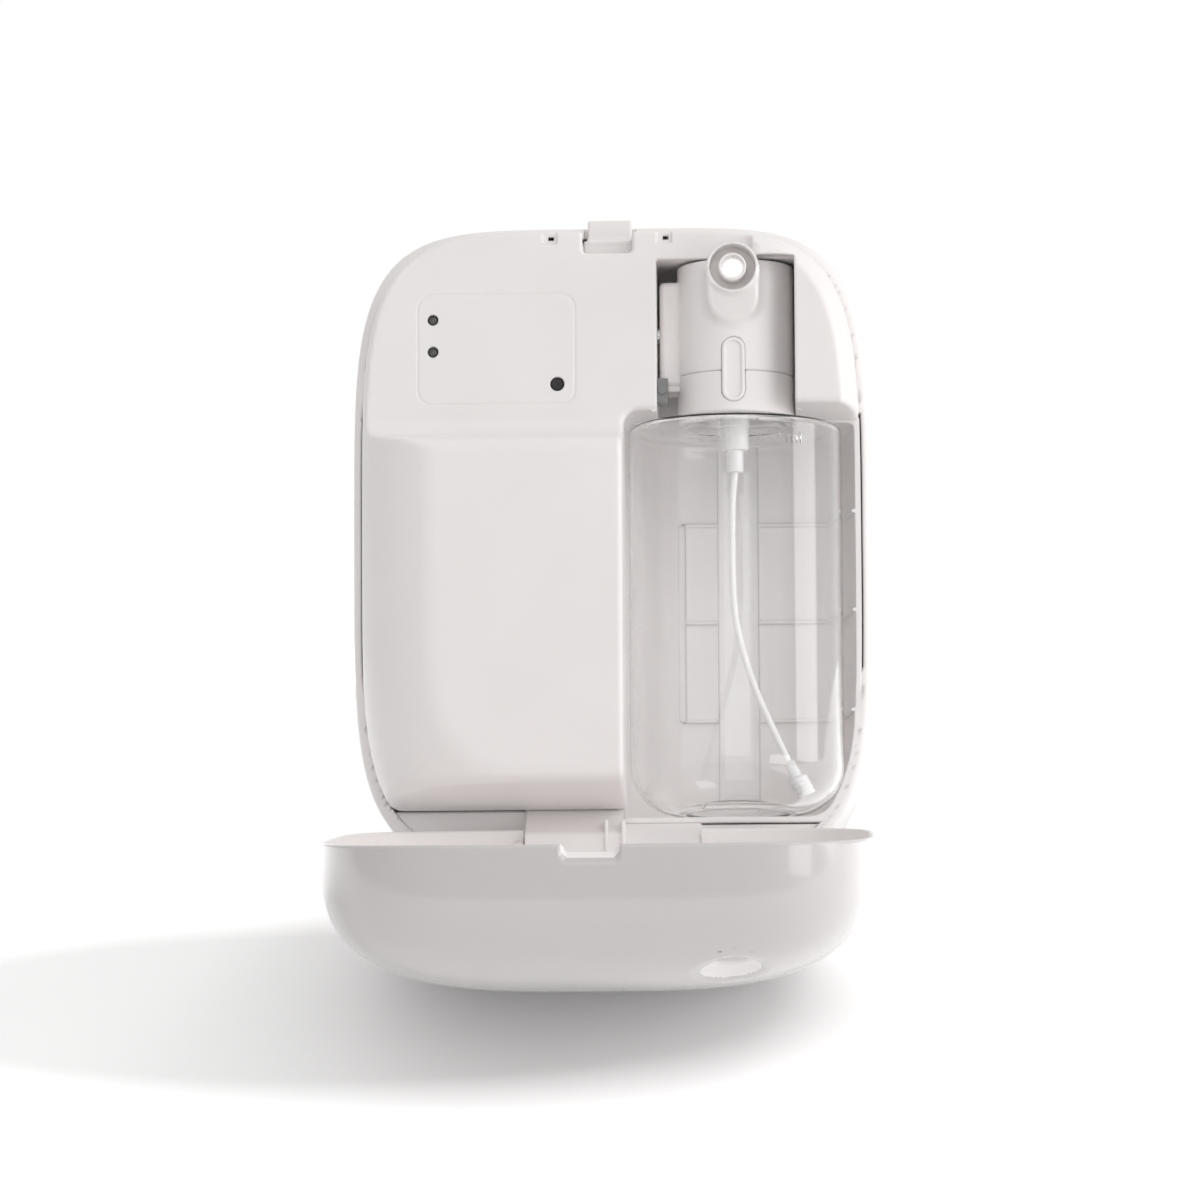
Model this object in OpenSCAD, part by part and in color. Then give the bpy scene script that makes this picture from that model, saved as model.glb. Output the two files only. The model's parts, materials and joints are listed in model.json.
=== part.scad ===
// Wall mounted automatic foam soap dispenser, shown with its front cover swung down.
// X runs to the right, -Y out of the wall towards the user, Z up.
// The origin is on the wall, behind the middle of the casing's outline.
// Depths are distances out of the wall, so a depth of 52 lies at Y = -52.

/* [Casing] */
// Width of the casing
body_w = 170; // [164:1:182]
// Height of the casing
body_h = 212; // [208:1:224]
// Depth of the rear casing, from the wall to its rim
rim_d = 52; // [50:0.5:56]
// Wall of the casing and width of its visible rim
shell_t = 2.6; // [2.2:0.1:3]
// Squareness of the outline across its width
square_x = 5.2; // [4.5:0.1:6]
// Squareness of the outline along its height
square_z = 4.5; // [4:0.1:5.5]

/* [Cover] */
// Depth of the domed front cover
cover_depth = 46.6; // [44:0.2:52]
// Wall of the front cover
cover_t = 2.2; // [1.8:0.1:2.4]
// Squareness of the dome's section
dome_square = 3.2; // [3.1:0.1:3.6]
// Angle by which the cover stands open
cover_open = 96.8; // [0:0.2:100]
// Bore of the foam outlet in the cover
outlet_bore = 21; // [20:0.5:24]

/* [Hinge] */
// Depth of the hinge axis
hinge_d = 60.2; // [60:0.1:61]
// Height of the hinge axis above the casing's lowest point
hinge_up = 3.1; // [2.8:0.1:3.4]
// Width of the hinge block
hinge_w = 57.2; // [50:0.5:62]
// Radius of the hinge barrel
barrel_r = 3.4; // [3:0.1:3.6]
// Thickness of each ear on the cover
ear_t = 3.3; // [2.5:0.1:4]
// Diameter of the hinge pins
hinge_pin = 3; // [2.4:0.1:3.2]

/* [Front panel] */
// Wall of the inner front panel
panel_t = 2; // [1.6:0.1:2.4]
// Depth of the flat part behind the mode button
panel_d = 70; // [69:0.5:71]
// Depth of the column beside the pump
column_d = 78; // [76:0.5:79]
// Depth of the bulge in front of the battery box
bulge_d = 90; // [87:0.5:91]
// Height at which the bulge starts
bulge_top = 37.4; // [36:0.2:38]
// Height of the bulge's lower edge at its front
bulge_low = -81; // [-82:0.5:-79]
// Gap between the casing's rim and the front panel
rim_gap = 0.6; // [0.4:0.1:0.8]

/* [Bottle] */
// Outer diameter of the bottle
bottle_dia = 70.1; // [66:0.1:70.2]
// Wall of the bottle
bottle_t = 1.6; // [1.2:0.1:2]
// Height of the bottle's shoulder
bottle_top = 38.6; // [38:0.1:39]
// Height of the bottle's base
bottle_base = -89.7; // [-90:0.1:-84]
// Diameter of the ring the bottle stands on
base_ring = 38.5; // [34:0.5:44]
// Height at which the wall bends in to the base
base_bend = -73.5; // [-76:0.5:-68]
// Outer diameter of the bottle's neck
neck_dia = 29; // [27:0.5:29.6]
// Distance of the bottle's axis from the casing's right side
bottle_in = 44.2; // [44:0.1:44.6]
// Depth of the bottle's axis
bottle_d = 55.2; // [54.8:0.1:55.6]

/* [Pump] */
// Outer diameter of the pump head
head_dia = 36.9; // [36:0.1:38]
// Wall of the pump head and its collar
head_t = 2; // [1.6:0.1:2.2]
// Height of the pump head's top
head_top = 91.2; // [90.5:0.1:91.4]
// Height of the seam between head and collar
head_seam = 54.3; // [53.5:0.1:55]
// Height of the collar's lower edge
collar_low = 40.9; // [40.6:0.1:41.2]
// Height of the nozzle's axis
nozzle_z = 87; // [86:0.1:87.5]
// Outer diameter of the nozzle boss
boss_dia = 17; // [16:0.1:17.4]
// Outer diameter of the inner nozzle tube
nozzle_dia = 9.1; // [8:0.1:9.6]
// How far the nozzle's tip stands out of the flat part of the panel
nozzle_out = 13.5; // [12:0.5:14]
// Height of the pump's drive axis
drive_z = 69; // [68.5:0.1:69.5]
// Diameter of the pump rotor
rotor_dia = 11; // [9:0.5:12]
// Diameter of the dip tube
dip_dia = 2.2; // [2:0.1:2.6]

/* [Batteries] */
// Diameter of one cell
cell_dia = 26.2; // [25.6:0.1:26.2]
// Length of one cell
cell_len = 50; // [49:0.1:50]
// Depth of the cells' axes
cell_d = 33; // [32:0.5:34]
// Wall of the battery box
box_t = 1.5; // [1.2:0.1:1.8]

/* [Gears] */
// Tooth module of all gears
tooth_m = 0.8; // [0.76:0.02:0.8]
// Teeth on the motor pinion
pinion_n = 12; // [12:1:13]
// Teeth on the large step of the reduction gear
wheel_n = 30; // [29:1:30]
// Teeth on the small step of the reduction gear
step_n = 12; // [12:1:13]
// Teeth on the output gear
output_n = 22; // [21:1:22]
// Face width of the output gear
gear_w = 6.5; // [5:0.5:7]
// Diameter of the motor
motor_dia = 24.4; // [22:0.1:24.4]
// Length of the motor
motor_len = 31; // [28:0.5:34]

/* [Controls] */
// Diameter of the mode button
button_dia = 4.2; // [3.8:0.1:4.6]
// Travel of the mode button
button_travel = 0.8; // [0.5:0.1:1]
// Diameter of each indicator light
light_dia = 3.1; // [2.8:0.1:3.4]
// Width of the latch's thumb tab
tab_w = 14.6; // [13:0.2:15]
// Height of the tab above the outline
tab_rise = 2.2; // [1.8:0.1:2.6]
// Travel of the latch
latch_travel = 2; // [1.5:0.1:2.2]

/* [Wall mount] */
// Width of the wall bracket
bracket_w = 96; // [90:1:104]
// Height of the wall bracket
bracket_h = 124; // [118:1:130]
// Thickness of the wall bracket
bracket_t = 2.5; // [2:0.1:3]
// Distance between wall screws across
screw_x = 72; // [66:1:76]
// Distance between wall screws up and down
screw_z = 96; // [90:1:102]
// Bore for each wall screw
wall_bore = 4.6; // [4:0.1:5]
// Room behind the casing for the heads of the wall screws
screw_room = 0.9; // [0.8:0.1:1.2]

/* [Fits] */
// Room between pieces that stay still or move past each other
clearance = 0.4; // [0.35:0.05:0.5]
// Radial room between a shaft and its bore
running = 0.05; // [0.03:0.01:0.08]

/* [Hidden] */
$fn = 48;
eps = 0.01;
outline_n = 72;
dome_steps = 13;
dome_last = 85;

// Casing
half_w = body_w / 2;
half_h = body_h / 2;
back_d = bracket_t + screw_room;
inside_d = back_d + shell_t;
panel_in = shell_t + rim_gap;
hinge_z = hinge_up - half_h;
bottle_x = half_w - bottle_in;
inner_low = shell_t - half_h;

// Pump chamber, bay and column
chamber_l = bottle_x - 25.2;
chamber_r = bottle_x + 20.1;
chamber_top = head_top + 0.8;
chamber_back = bottle_d - 25.2;
recess_l = bottle_x - 18;
recess_r = bottle_x + 4.5;
recess_back = panel_d - 9;
recess_top = half_h - 5.4;
bay_top = bottle_top + 1.4;
bay_floor = bottle_base - 0.3;
bay_l = bottle_x - 38.2;
bay_r = half_w - 5;
bay_back = bottle_d - 37.2;
bay_t = 2;
rib_t = 1.2;
rib_rise = 1.6;
lower_front = rim_d - 1.2;
seam_z = 19 - half_h;
bulge_r = bay_l + 1.4;
bulge_round = 4;
step_drop = 9.4;
block_top = bay_floor - bay_t - clearance;

// Batteries and their door
cell_r = cell_dia / 2;
cell_gap = 1.3;
cell_mid = bay_l - 33.6;
cell_step = (cell_dia + cell_gap) / 2;
cell_low = 11.2 - half_h;
cells_top = cell_low + 2 * cell_len;
box_l = cell_mid - cell_step - cell_r - clearance;
box_r = cell_mid + cell_step + cell_r + clearance;
box_back = cell_d - cell_r - clearance;
box_front = cell_d + cell_r + clearance;
box_low = 8 - half_h;
contact_t = 0.5;
box_roof = cells_top + contact_t;
door_r = shell_t / 2;
door_x = box_r + 1.2;
door_z = door_r - half_h;
door_l = box_l - 0.6;
door_back = box_back - 0.6;
door_front = box_front + 0.6;
stub_r = 0.8;
stub_len = 1.6;
spring_seat_z = 6.5 - half_h;
spring_r = 7;
spring_wire = 0.45;

// Gear train, with places as [depth, height]
rotor_r = rotor_dia / 2;
pressure = 20;
backlash = 0.16;
step_dist = tooth_m * (step_n + output_n) / 2;
wheel_dist = tooth_m * (pinion_n + wheel_n) / 2;
step_dir = 36.7;
wheel_dir = 19.8;
drive_at = [bottle_d, drive_z];
axle_at = drive_at + step_dist * [-cos(step_dir), sin(step_dir)];
motor_at = axle_at + wheel_dist * [-cos(wheel_dir), sin(wheel_dir)];
plate_t = 2;
plate_l = chamber_l - 28.6;
plate_r = chamber_l - 9.6;
wheel_x = plate_l + 3;
wheel_w = 5;
output_x = plate_l + 10.5;
shaft_r = 3;
shaft_end = chamber_l + 4.8;
axle_r = 1.5;
motor_shaft_r = 1;
motor_screw_gap = 8;
function motor_screw_at(s) = motor_at + s * motor_screw_gap * [sin(wheel_dir), cos(wheel_dir)];
gear_posts = [[40, 57], [62, 84], [20, 68]];

// Pump and bottle
head_r = head_dia / 2;
bottle_r = bottle_dia / 2;
neck_r = neck_dia / 2;
web_low = 51;
neck_top = 49.8;
journal_r = 3.5;
journal_l = shaft_end + 0.5;
rotor_l = bottle_x - 8.8;
rotor_len = 18;
slot_w = 2.2;
tongue_t = 1.6;
tongue_len = 3.2;
lug_l = chamber_l + 1.6;
lug_low = head_seam;
lug_high = head_top - 3.8;
lug_back = bottle_d - 9.2;
lug_front = bottle_d + 5.8;
boss_r = boss_dia / 2;
boss_floor = panel_d + 2;
boss_bore = boss_r - 1.2;
ridge_front = panel_d + 6.3;
nozzle_tip = panel_d + nozzle_out;
block_r = head_r - head_t - 0.25;
nozzle_r = nozzle_dia / 2;
nozzle_bore = nozzle_r - 0.85;
key_w = 7.6;
key_low = 44;
key_high = 65.3;
key_travel = 0.7;
fitting_r = 4.55;
fitting_low = 30.5;
stem_r = 2.75;
stem_low = 23.2;
dip_bends = [[0, 23.2], [-0.9, 14], [-1.2, -4], [-0.7, -20], [1, -31.5], [5.5, -47], [11.4, -61],
    [16.6, -72.2], [19.8, -78.4]];
dip_route = [for (p = dip_bends) [bottle_x + p[0], p[1]]];
filter_sleeve = 6.5;
filter_sleeve_r = 1.8;
filter_len = 6.3;
filter_r = 3.15;

// Controls on the front panel
button_at = [68 - half_w, 51];
lights_at = [for (z = [72.6, 62]) [27.3 - half_w, z]];
board_l = 24 - half_w;
board_r = 70.5 - half_w;
board_low = 43;
board_high = 84;
board_t = 1.6;
board_d = panel_d - 10;
board_holes = [for (p = [[28, 47], [33, 80], [65, 80], [55, 47]]) [p[0] - half_w, p[1]]];
switch_top = board_d + board_t + 3.4;
snap_x = 18.8;
snap_z = half_h - 6.6;
pocket_w = 17;
pocket_low = half_h - 11.6;
latch_back = rim_d - 1.1;
latch_front = rim_d + 5.4;
latch_low = half_h - 7;
tab_foot = half_h - 5;
tab_t = 2.8;
notch_in = 2.2;
notch_out = 6;

// Fasteners
post_r = 4;
post_d = 20;
posts_at = concat([for (z = [half_h - 22, -20, 30 - half_h]) [19 - half_w, z]], [[half_w - 15, half_h - 30]]);
screw_r = 1.25;
screw_head_r = 2.6;
hook_x = bracket_w / 2 - 18;
hooks_at = [for (x = [-1, 1], z = [bracket_h / 2 - 16, 18 - bracket_h / 2]) [x * hook_x, z]];
hook_w = 12;
hook_h = 5;

// Signed power, point on an oval and an arc
function spow(v, p) = v < 0 ? -pow(-v, p) : pow(v, p);
function oval(hw, hh) = [for (i = [0:outline_n - 1]) let (a = 360 * i / outline_n)
    [hw * spow(cos(a), 2 / square_x), hh * spow(sin(a), 2 / square_z)]];
function outline(inset) = oval(half_w - inset, half_h - inset);
function arc(c, r, a0, a1, n = 8) = [for (i = [0:n]) let (a = a0 + (a1 - a0) * i / n)
    c + r * [cos(a), sin(a)]];

// Faces of a closed stack of rings with n points in each
function stack_faces(rings, n) = concat(
    [[for (i = [0:n - 1]) i]],
    [for (k = [0:rings - 2], i = [0:n - 1]) let (j = (i + 1) % n) [k * n + i, (k + 1) * n + i, k * n + j]],
    [for (k = [0:rings - 2], i = [0:n - 1]) let (j = (i + 1) % n)
        [k * n + j, (k + 1) * n + i, (k + 1) * n + j]],
    [[for (i = [n - 1:-1:0]) (rings - 1) * n + i]]);

// Rings of the dome, set in by one distance all round: [scale, share of the depth]
function dome_ring(inset, k) = let (a = dome_last * k / dome_steps,
    s = pow(cos(a), 2 / dome_square), t = pow(sin(a), 2 / dome_square),
    lost = (half_w - inset) * (1 - s), d = rim_d + (cover_depth - inset) * t)
    [for (p = oval(half_w - inset - lost, half_h - inset - lost)) [p[0], -d, p[1]]];
function dome_rings(inset) = [for (k = [0:dome_steps]) dome_ring(inset, k)];
function flat(rings) = [for (r = rings, p = r) p];

// Teeth of an involute gear
function inv(a) = tan(a) * 180 / PI - a;
function tooth_half(r, n) = let (pitch = tooth_m * n / 2, base = pitch * cos(pressure),
    half = (PI * tooth_m / 4 - backlash / 2) / pitch * 180 / PI)
    half + inv(pressure) - inv(acos(min(1, base / max(r, base))));
function flank(n) = let (pitch = tooth_m * n / 2, low = pitch - 1.15 * tooth_m, high = pitch + 0.8 * tooth_m,
    base = max(low, pitch * cos(pressure)))
    [low, base, (base + pitch) / 2, pitch, (pitch + high) / 2, high];
function polar(r, a) = [r * cos(a), r * sin(a)];
function gear_points(n, phase) = [for (i = [0:n - 1]) let (c = phase + 360 * i / n, rs = flank(n))
    each concat([for (r = rs) polar(r, c - tooth_half(r, n))],
                [for (k = [len(rs) - 1:-1:0]) polar(rs[k], c + tooth_half(rs[k], n))])];

// Points along a smooth route through hand-placed points, and rings round it
function spline(a, b, c, d, t) = 0.5 * (2 * b + (c - a) * t + (2 * a - 5 * b + 4 * c - d) * t * t
    + (3 * b - a - 3 * c + d) * t * t * t);
function smooth(p, n) = concat([for (i = [0:len(p) - 2], k = [0:n - 1])
    spline(p[max(i - 1, 0)], p[i], p[i + 1], p[min(i + 2, len(p) - 1)], k / n)], [p[len(p) - 1]]);
function unit(v) = v / norm(v);
function tube_rings(p, r, side, n) = [for (i = [0:len(p) - 1])
    let (t = unit(p[min(i + 1, len(p) - 1)] - p[max(i - 1, 0)]), u = unit(cross(t, side)), v = cross(t, u))
    for (k = [0:n - 1]) p[i] + r * (cos(360 * k / n) * u + sin(360 * k / n) * v)];
module tube(p, r, side, n = 8) {
    polyhedron(tube_rings(p, r, side, n), stack_faces(len(p), n), convexity = 6);
}
module coil(r0, r1, wire, turns, height) {
    steps = turns * 14;
    path = [for (i = [0:steps]) let (f = i / steps, a = 360 * turns * f, r = r0 + (r1 - r0) * f)
        [r * cos(a), r * sin(a), wire + (height - 2 * wire) * f]];
    tube(path, wire, [0, 0, 1], 6);
}

// An [x, z] shape pushed out of the wall between two depths
module slab(from, to) {
    translate([0, -from, 0]) rotate([90, 0, 0]) linear_extrude(to - from) children();
}
// A [depth, z] shape pushed along X between two places
module along_x(x0, x1) {
    translate([x1, 0, 0]) rotate([90, 0, -90]) linear_extrude(x1 - x0) children();
}
// An [x, depth] shape pushed up between two heights
module upright(z0, z1) {
    translate([0, 0, z0]) linear_extrude(z1 - z0) mirror([0, 1]) children();
}
// Round bars along X, out of the wall, and upright
module bar_x(x0, x1, at, r) {
    translate([x0, -at[0], at[1]]) rotate([0, 90, 0]) cylinder(h = x1 - x0, r = r);
}
module bar_y(at, d0, d1, r) {
    translate([at[0], -d0, at[1]]) rotate([90, 0, 0]) cylinder(h = d1 - d0, r = r);
}
module bar_z(at, z0, z1, r) {
    translate([at[0], -at[1], z0]) cylinder(h = z1 - z0, r = r);
}
// A box from two corners given as [x, depth, z]
module block(a, b) {
    translate([a[0], -b[1], a[2]]) cube([b[0] - a[0], b[1] - a[1], b[2] - a[2]]);
}
module both_sides() {
    children();
    mirror([1, 0, 0]) children();
}

module wall_bracket() color("gainsboro") difference() {
    union() {
        block([-bracket_w / 2, 0, -bracket_h / 2], [bracket_w / 2, bracket_t, bracket_h / 2]);
        for (h = hooks_at) {
            block([h[0] - hook_w / 2, bracket_t - eps, h[1] - hook_h],
                  [h[0] + hook_w / 2, inside_d + clearance + plate_t, h[1]]);
            block([h[0] - hook_w / 2, inside_d + clearance, h[1] - eps],
                  [h[0] + hook_w / 2, inside_d + clearance + plate_t, h[1] + hook_h]);
        }
    }
    for (x = [-1, 1], z = [-1, 1])
        bar_y([x * screw_x / 2, z * screw_z / 2], -1, bracket_t + 1, wall_bore / 2);
    bar_y([0, 0], -1, bracket_t + 1, bracket_w / 5);
}

module casing_band(inset, thick) difference() {
    polygon(outline(inset));
    polygon(outline(inset + thick));
}

module hinge_profile() {
    polygon([[rim_d - 3, -half_h + barrel_r / 2], [rim_d - 3, block_top], [rim_d, block_top],
             [hinge_d + barrel_r - 1.2, -95], [hinge_d + barrel_r, -97], [hinge_d + barrel_r, hinge_z],
             [hinge_d, hinge_z - barrel_r], [rim_d - 2, hinge_z - barrel_r + 0.4]]);
    translate([hinge_d, hinge_z]) circle(barrel_r);
}

module rear_housing() color("white") difference() {
    union() {
        difference() {
            union() {
                slab(0.6, rim_d) casing_band(0, shell_t);
                slab(back_d, inside_d) polygon(outline(shell_t / 2));
                slab(lower_front - panel_t, lower_front) intersection() {
                    polygon(outline(shell_t / 2));
                    union() {
                        translate([-half_w, -half_h]) square([half_w, half_h + seam_z - clearance]);
                        translate([-half_w, -half_h]) square([body_w, half_h + block_top]);
                    }
                }
                for (p = posts_at)
                    bar_y(p, inside_d - eps, post_d, post_r);
            }
            both_sides() bar_x(hinge_w / 2, half_w, [hinge_d, hinge_z], rim_d / 5 - 1.2);
        }
        along_x(-hinge_w / 2, hinge_w / 2) hinge_profile();
    }
    // Bores for the hinge pins
    both_sides() bar_x(hinge_w / 2 - 9, hinge_w / 2 + 1, [hinge_d, hinge_z], hinge_pin / 2 + running);
    // Slots for the bracket's hooks
    for (h = hooks_at)
        block([h[0] - hook_w / 2 - clearance, back_d - 1, h[1] - hook_h - clearance],
              [h[0] + hook_w / 2 + clearance, inside_d + 1, h[1]]);
    // Battery opening, with blind holes for the door's stubs
    block([door_l - clearance, door_back - clearance, -half_h - 1],
          [door_x + door_r + clearance, door_front + clearance, -90]);
    bar_y([door_x, door_z], door_back - stub_len - clearance, door_front + stub_len + clearance,
          stub_r + running);
    // Notch for the latch's tab
    block([-pocket_w / 2, latch_back - clearance - 0.1, half_h - shell_t - 1],
          [pocket_w / 2, rim_d + 1, half_h + 1]);
    // Screw holes from behind
    for (p = posts_at) {
        bar_y(p, 0, post_d + 1, screw_r + running);
        bar_y(p, 0, inside_d + 2, screw_head_r + clearance);
    }
}

// The space that the front panel fills, with every wall set in by w
module dome_block(inset) union() {
    polyhedron(flat(dome_rings(inset)), stack_faces(dome_steps + 1, outline_n), convexity = 4);
    slab(rim_d - 12, rim_d + eps) polygon(outline(inset));
}
function bulge_curve(w) = [for (i = [0:8]) let (v = i / 8)
    [panel_d - w + (bulge_d - panel_d) * (1 - cos(180 * v)) / 2, bulge_top - w * 0.9 - step_drop * v]];
module bulge_side(start, w) polygon(concat(
    [[start, seam_z + 1 + w], [start, bulge_top - w * 0.9 + 1]],
    bulge_curve(w),
    arc([bulge_d - bulge_round, bulge_low + bulge_round - 0.5], bulge_round - w, 0, -85),
    [[rim_d, seam_z + 1 + w]]));
module bulge_plan(start, w) polygon(concat(
    [[-half_w, start], [-half_w, bulge_d + 1], [bulge_r - bulge_round - 2.8, bulge_d + 1]],
    [[bulge_r - bulge_round - 2.8, bulge_d - w]],
    arc([bulge_r - bulge_round - 2.4, bulge_d - bulge_round], bulge_round - w, 90, 5),
    [[bulge_r - w, rim_d], [bulge_r - w, start]]));
module panel_mass(start, w) intersection() {
    dome_block(panel_in + w);
    union() {
        slab(start, panel_d - w) {
            translate([-half_w, bulge_top - 1]) square([half_w + bulge_r - w, half_h]);
            translate([-half_w, bay_top + 1.5]) square([half_w + chamber_l - w, half_h]);
            translate([-half_w, chamber_top + w]) square([body_w, half_h]);
        }
        intersection() {
            along_x(-half_w, bulge_r + 6) bulge_side(start, w);
            upright(-half_h, half_h) bulge_plan(start, w);
        }
        along_x(chamber_r + w, half_w) polygon([[start, bay_top + 1.5 + w], [start, half_h],
            [column_d - w, half_h], [column_d - w, bay_top + 4.5 + w]]);
    }
}
module front_panel() color("whitesmoke") difference() {
    union() {
        difference() {
            panel_mass(rim_d, 0);
            panel_mass(rim_d - 12, panel_t);
        }
        // Pump chamber
        block([chamber_l - panel_t, chamber_back - panel_t, bay_top + 1.5],
              [chamber_r + panel_t, panel_d - 1, chamber_top + panel_t]);
        // Pocket for the latch
        block([-pocket_w / 2 - panel_t, rim_d - 3, pocket_low - panel_t],
              [pocket_w / 2 + panel_t, panel_d - 1, half_h - 6.5]);
        // Back and sides of the recess round the nozzle
        intersection() {
            panel_mass(rim_d, 0);
            block([recess_l - panel_t, recess_back - panel_t, chamber_top],
                  [recess_r + panel_t, panel_d, recess_top + panel_t]);
        }
        // Posts for the casing screws and the circuit board
        intersection() {
            panel_mass(rim_d, 0);
            for (p = posts_at)
                bar_y(p, rim_d, bulge_d, post_r);
        }
        for (p = posts_at)
            bar_y(p, post_d, rim_d + eps, post_r);
        for (p = board_holes)
            bar_y(p, board_d + board_t, panel_d - 1, 2.4);
    }
    block([chamber_l, chamber_back, 0], [chamber_r, half_h, chamber_top]);
    block([recess_l, recess_back, chamber_top - eps], [recess_r, half_h, recess_top]);
    block([-pocket_w / 2, rim_d - 1.6, pocket_low], [pocket_w / 2, half_h, half_h]);
    for (p = lights_at)
        bar_y(p, board_d, panel_d + 1, light_dia / 2 + 0.2);
    bar_y(button_at, board_d, panel_d + 1, button_dia / 2 + 0.2);
    both_sides() {
        block([snap_x - 3, panel_d - 1, snap_z - 1.9], [snap_x + 3, panel_d + 10, half_h]);
        block([snap_x - 1.3, panel_d - 5, snap_z - 0.8], [snap_x + 1.3, panel_d + 1, snap_z + 0.8]);
    }
    // Bearing of the drive shaft
    bar_x(chamber_l - panel_t - 1, chamber_l + 1, drive_at, shaft_r + running);
    for (p = posts_at)
        bar_y(p, post_d - 1, post_d + 12, screw_r + running);
    for (p = board_holes)
        bar_y(p, board_d, board_d + board_t + 5, 0.9 + running);
}

// Inside of the bottle bay seen from above, with its wall pushed out by w
function bay_plan(w, front) = [[bay_l - w, front], [bay_l - w, rim_d - 0.5], [bay_l + 2.4 - w, 38],
    [bay_l + 9.4 - w, 25 - w / 2], [bay_back + 2.2 - w / 2, bay_back - w],
    [bay_r - 5.2 + w / 2, bay_back - w], [bay_r + 1.5 * w, rim_d - 0.5], [bay_r + 1.5 * w, front]];
module bottle_bay() color("ghostwhite") {
    bay_in = shell_t + clearance;
    difference() {
        intersection() {
            upright(bay_floor - bay_t, bay_top + 1.5) polygon(bay_plan(bay_t, rim_d));
            slab(1, rim_d + 2) polygon(outline(bay_in));
        }
        difference() {
            intersection() {
                upright(bay_floor, bay_top) polygon(bay_plan(0, rim_d + 1));
                slab(0, rim_d + 3) polygon(outline(bay_in + 1.4));
            }
            // Three ribs round the back and the right
            for (z = [10.7, -22, -55])
                upright(z - rib_t / 2, z + rib_t / 2) difference() {
                    polygon(bay_plan(0, rim_d - 1));
                    translate([bay_l - 1, bay_back + rib_rise])
                        square([bay_r - rib_rise - bay_l + 1, rim_d]);
                }
        }
        // Way through the roof for the pump head
        block([chamber_l, chamber_back, bay_top - 1], [chamber_r, rim_d + 1, bay_top + 3]);
        // Shallow groove behind the bottle
        block([bottle_x - 6.6, bay_back - 0.8, bay_floor + 4], [bottle_x + 7, bay_back + 1, bay_top - 3]);
    }
}

module battery_box() color("lightgray") {
    difference() {
        block([box_l - box_t, box_back - box_t, box_low],
              [box_r + box_t, box_front + box_t, box_roof + box_t]);
        block([box_l, box_back, box_low - 1], [box_r, box_front, box_roof]);
    }
    for (x = [box_l + 6, box_r - 6], z = [box_low + 12, box_roof - 12])
        bar_y([x, z], inside_d, box_back - box_t + eps, post_r);
}
module cells_places() for (side = [-1, 1]) translate([cell_mid + side * cell_step, -cell_d, 0]) children();
module batteries() color("dimgray") cells_places() for (k = [0, 1])
    translate([0, 0, cell_low + k * cell_len]) {
    cylinder(h = cell_len - 1.5, r = cell_r);
    cylinder(h = cell_len, r = 3.7);
}
module battery_contacts() color("silver") difference() {
    block([box_l + 3, cell_d - 6, cells_top], [box_r - 3, cell_d + 6, box_roof]);
    bar_z([cell_mid, cell_d], cells_top - 1, box_roof + 1, 1.6);
}

module battery_door() color("white") {
    difference() {
        slab(door_back, door_front) intersection() {
            casing_band(0, shell_t);
            translate([door_l, -half_h - 1]) square([door_x - door_l, 20]);
        }
        block([door_l - 1, door_back - 1, -half_h - 1], [door_l + 0.2, door_front + 1, 0]);
    }
    slab(door_back, door_front) translate([door_x, door_z]) circle(door_r);
    bar_y([door_x, door_z], door_back - stub_len, door_front + stub_len, stub_r);
    cells_places() translate([0, 0, inner_low - clearance])
        cylinder(h = spring_seat_z - inner_low + clearance, r = spring_r + 1);
}
module door_springs() color("silver") cells_places() translate([0, 0, spring_seat_z])
    coil(spring_r, 4, spring_wire, 3, cell_low - 0.3 - spring_seat_z);

module circuit_board() color("seagreen") {
    difference() {
        block([board_l, board_d, board_low], [board_r, board_d + board_t, board_high]);
        for (p = board_holes)
            bar_y(p, board_d - 1, board_d + board_t + 1, 1.2);
    }
    block([-52, board_d - 2.2, 56], [-42, board_d + eps, 66]);
    block([-36, board_d - 3, 70], [-30, board_d + eps, 80]);
    block([-26, board_d - 1.8, 58], [-19, board_d + eps, 64]);
}
module status_lights() color("dimgray") for (p = lights_at) {
    bar_y(p, board_d + board_t, panel_d - 0.3, light_dia / 2);
    bar_y(p, board_d + board_t, board_d + board_t + 1.2, light_dia / 2 + 0.6);
}
module button_switch() color("dimgray") {
    block([button_at[0] - 2.5, board_d + board_t, button_at[1] - 3],
          [button_at[0] + 2.5, board_d + board_t + 2.4, button_at[1] + 3]);
    bar_y(button_at, board_d + board_t + 2.4 - eps, switch_top, 1.7);
}
module mode_button() color("darkslategray") {
    bar_y(button_at, switch_top + button_travel + 0.3, panel_d - 0.5, button_dia / 2);
    bar_y(button_at, switch_top + button_travel + 0.3, panel_d - panel_t - 0.3, button_dia / 2 + 1.2);
}
module hand_sensor() color("gray") {
    block([chamber_l, panel_d - 12, 45], [chamber_l + 3.6, panel_d - 2, 52.8]);
    bar_y([chamber_l + 1.8, 48.9], panel_d - 2 - eps, panel_d - 1, 1.4);
}

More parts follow.
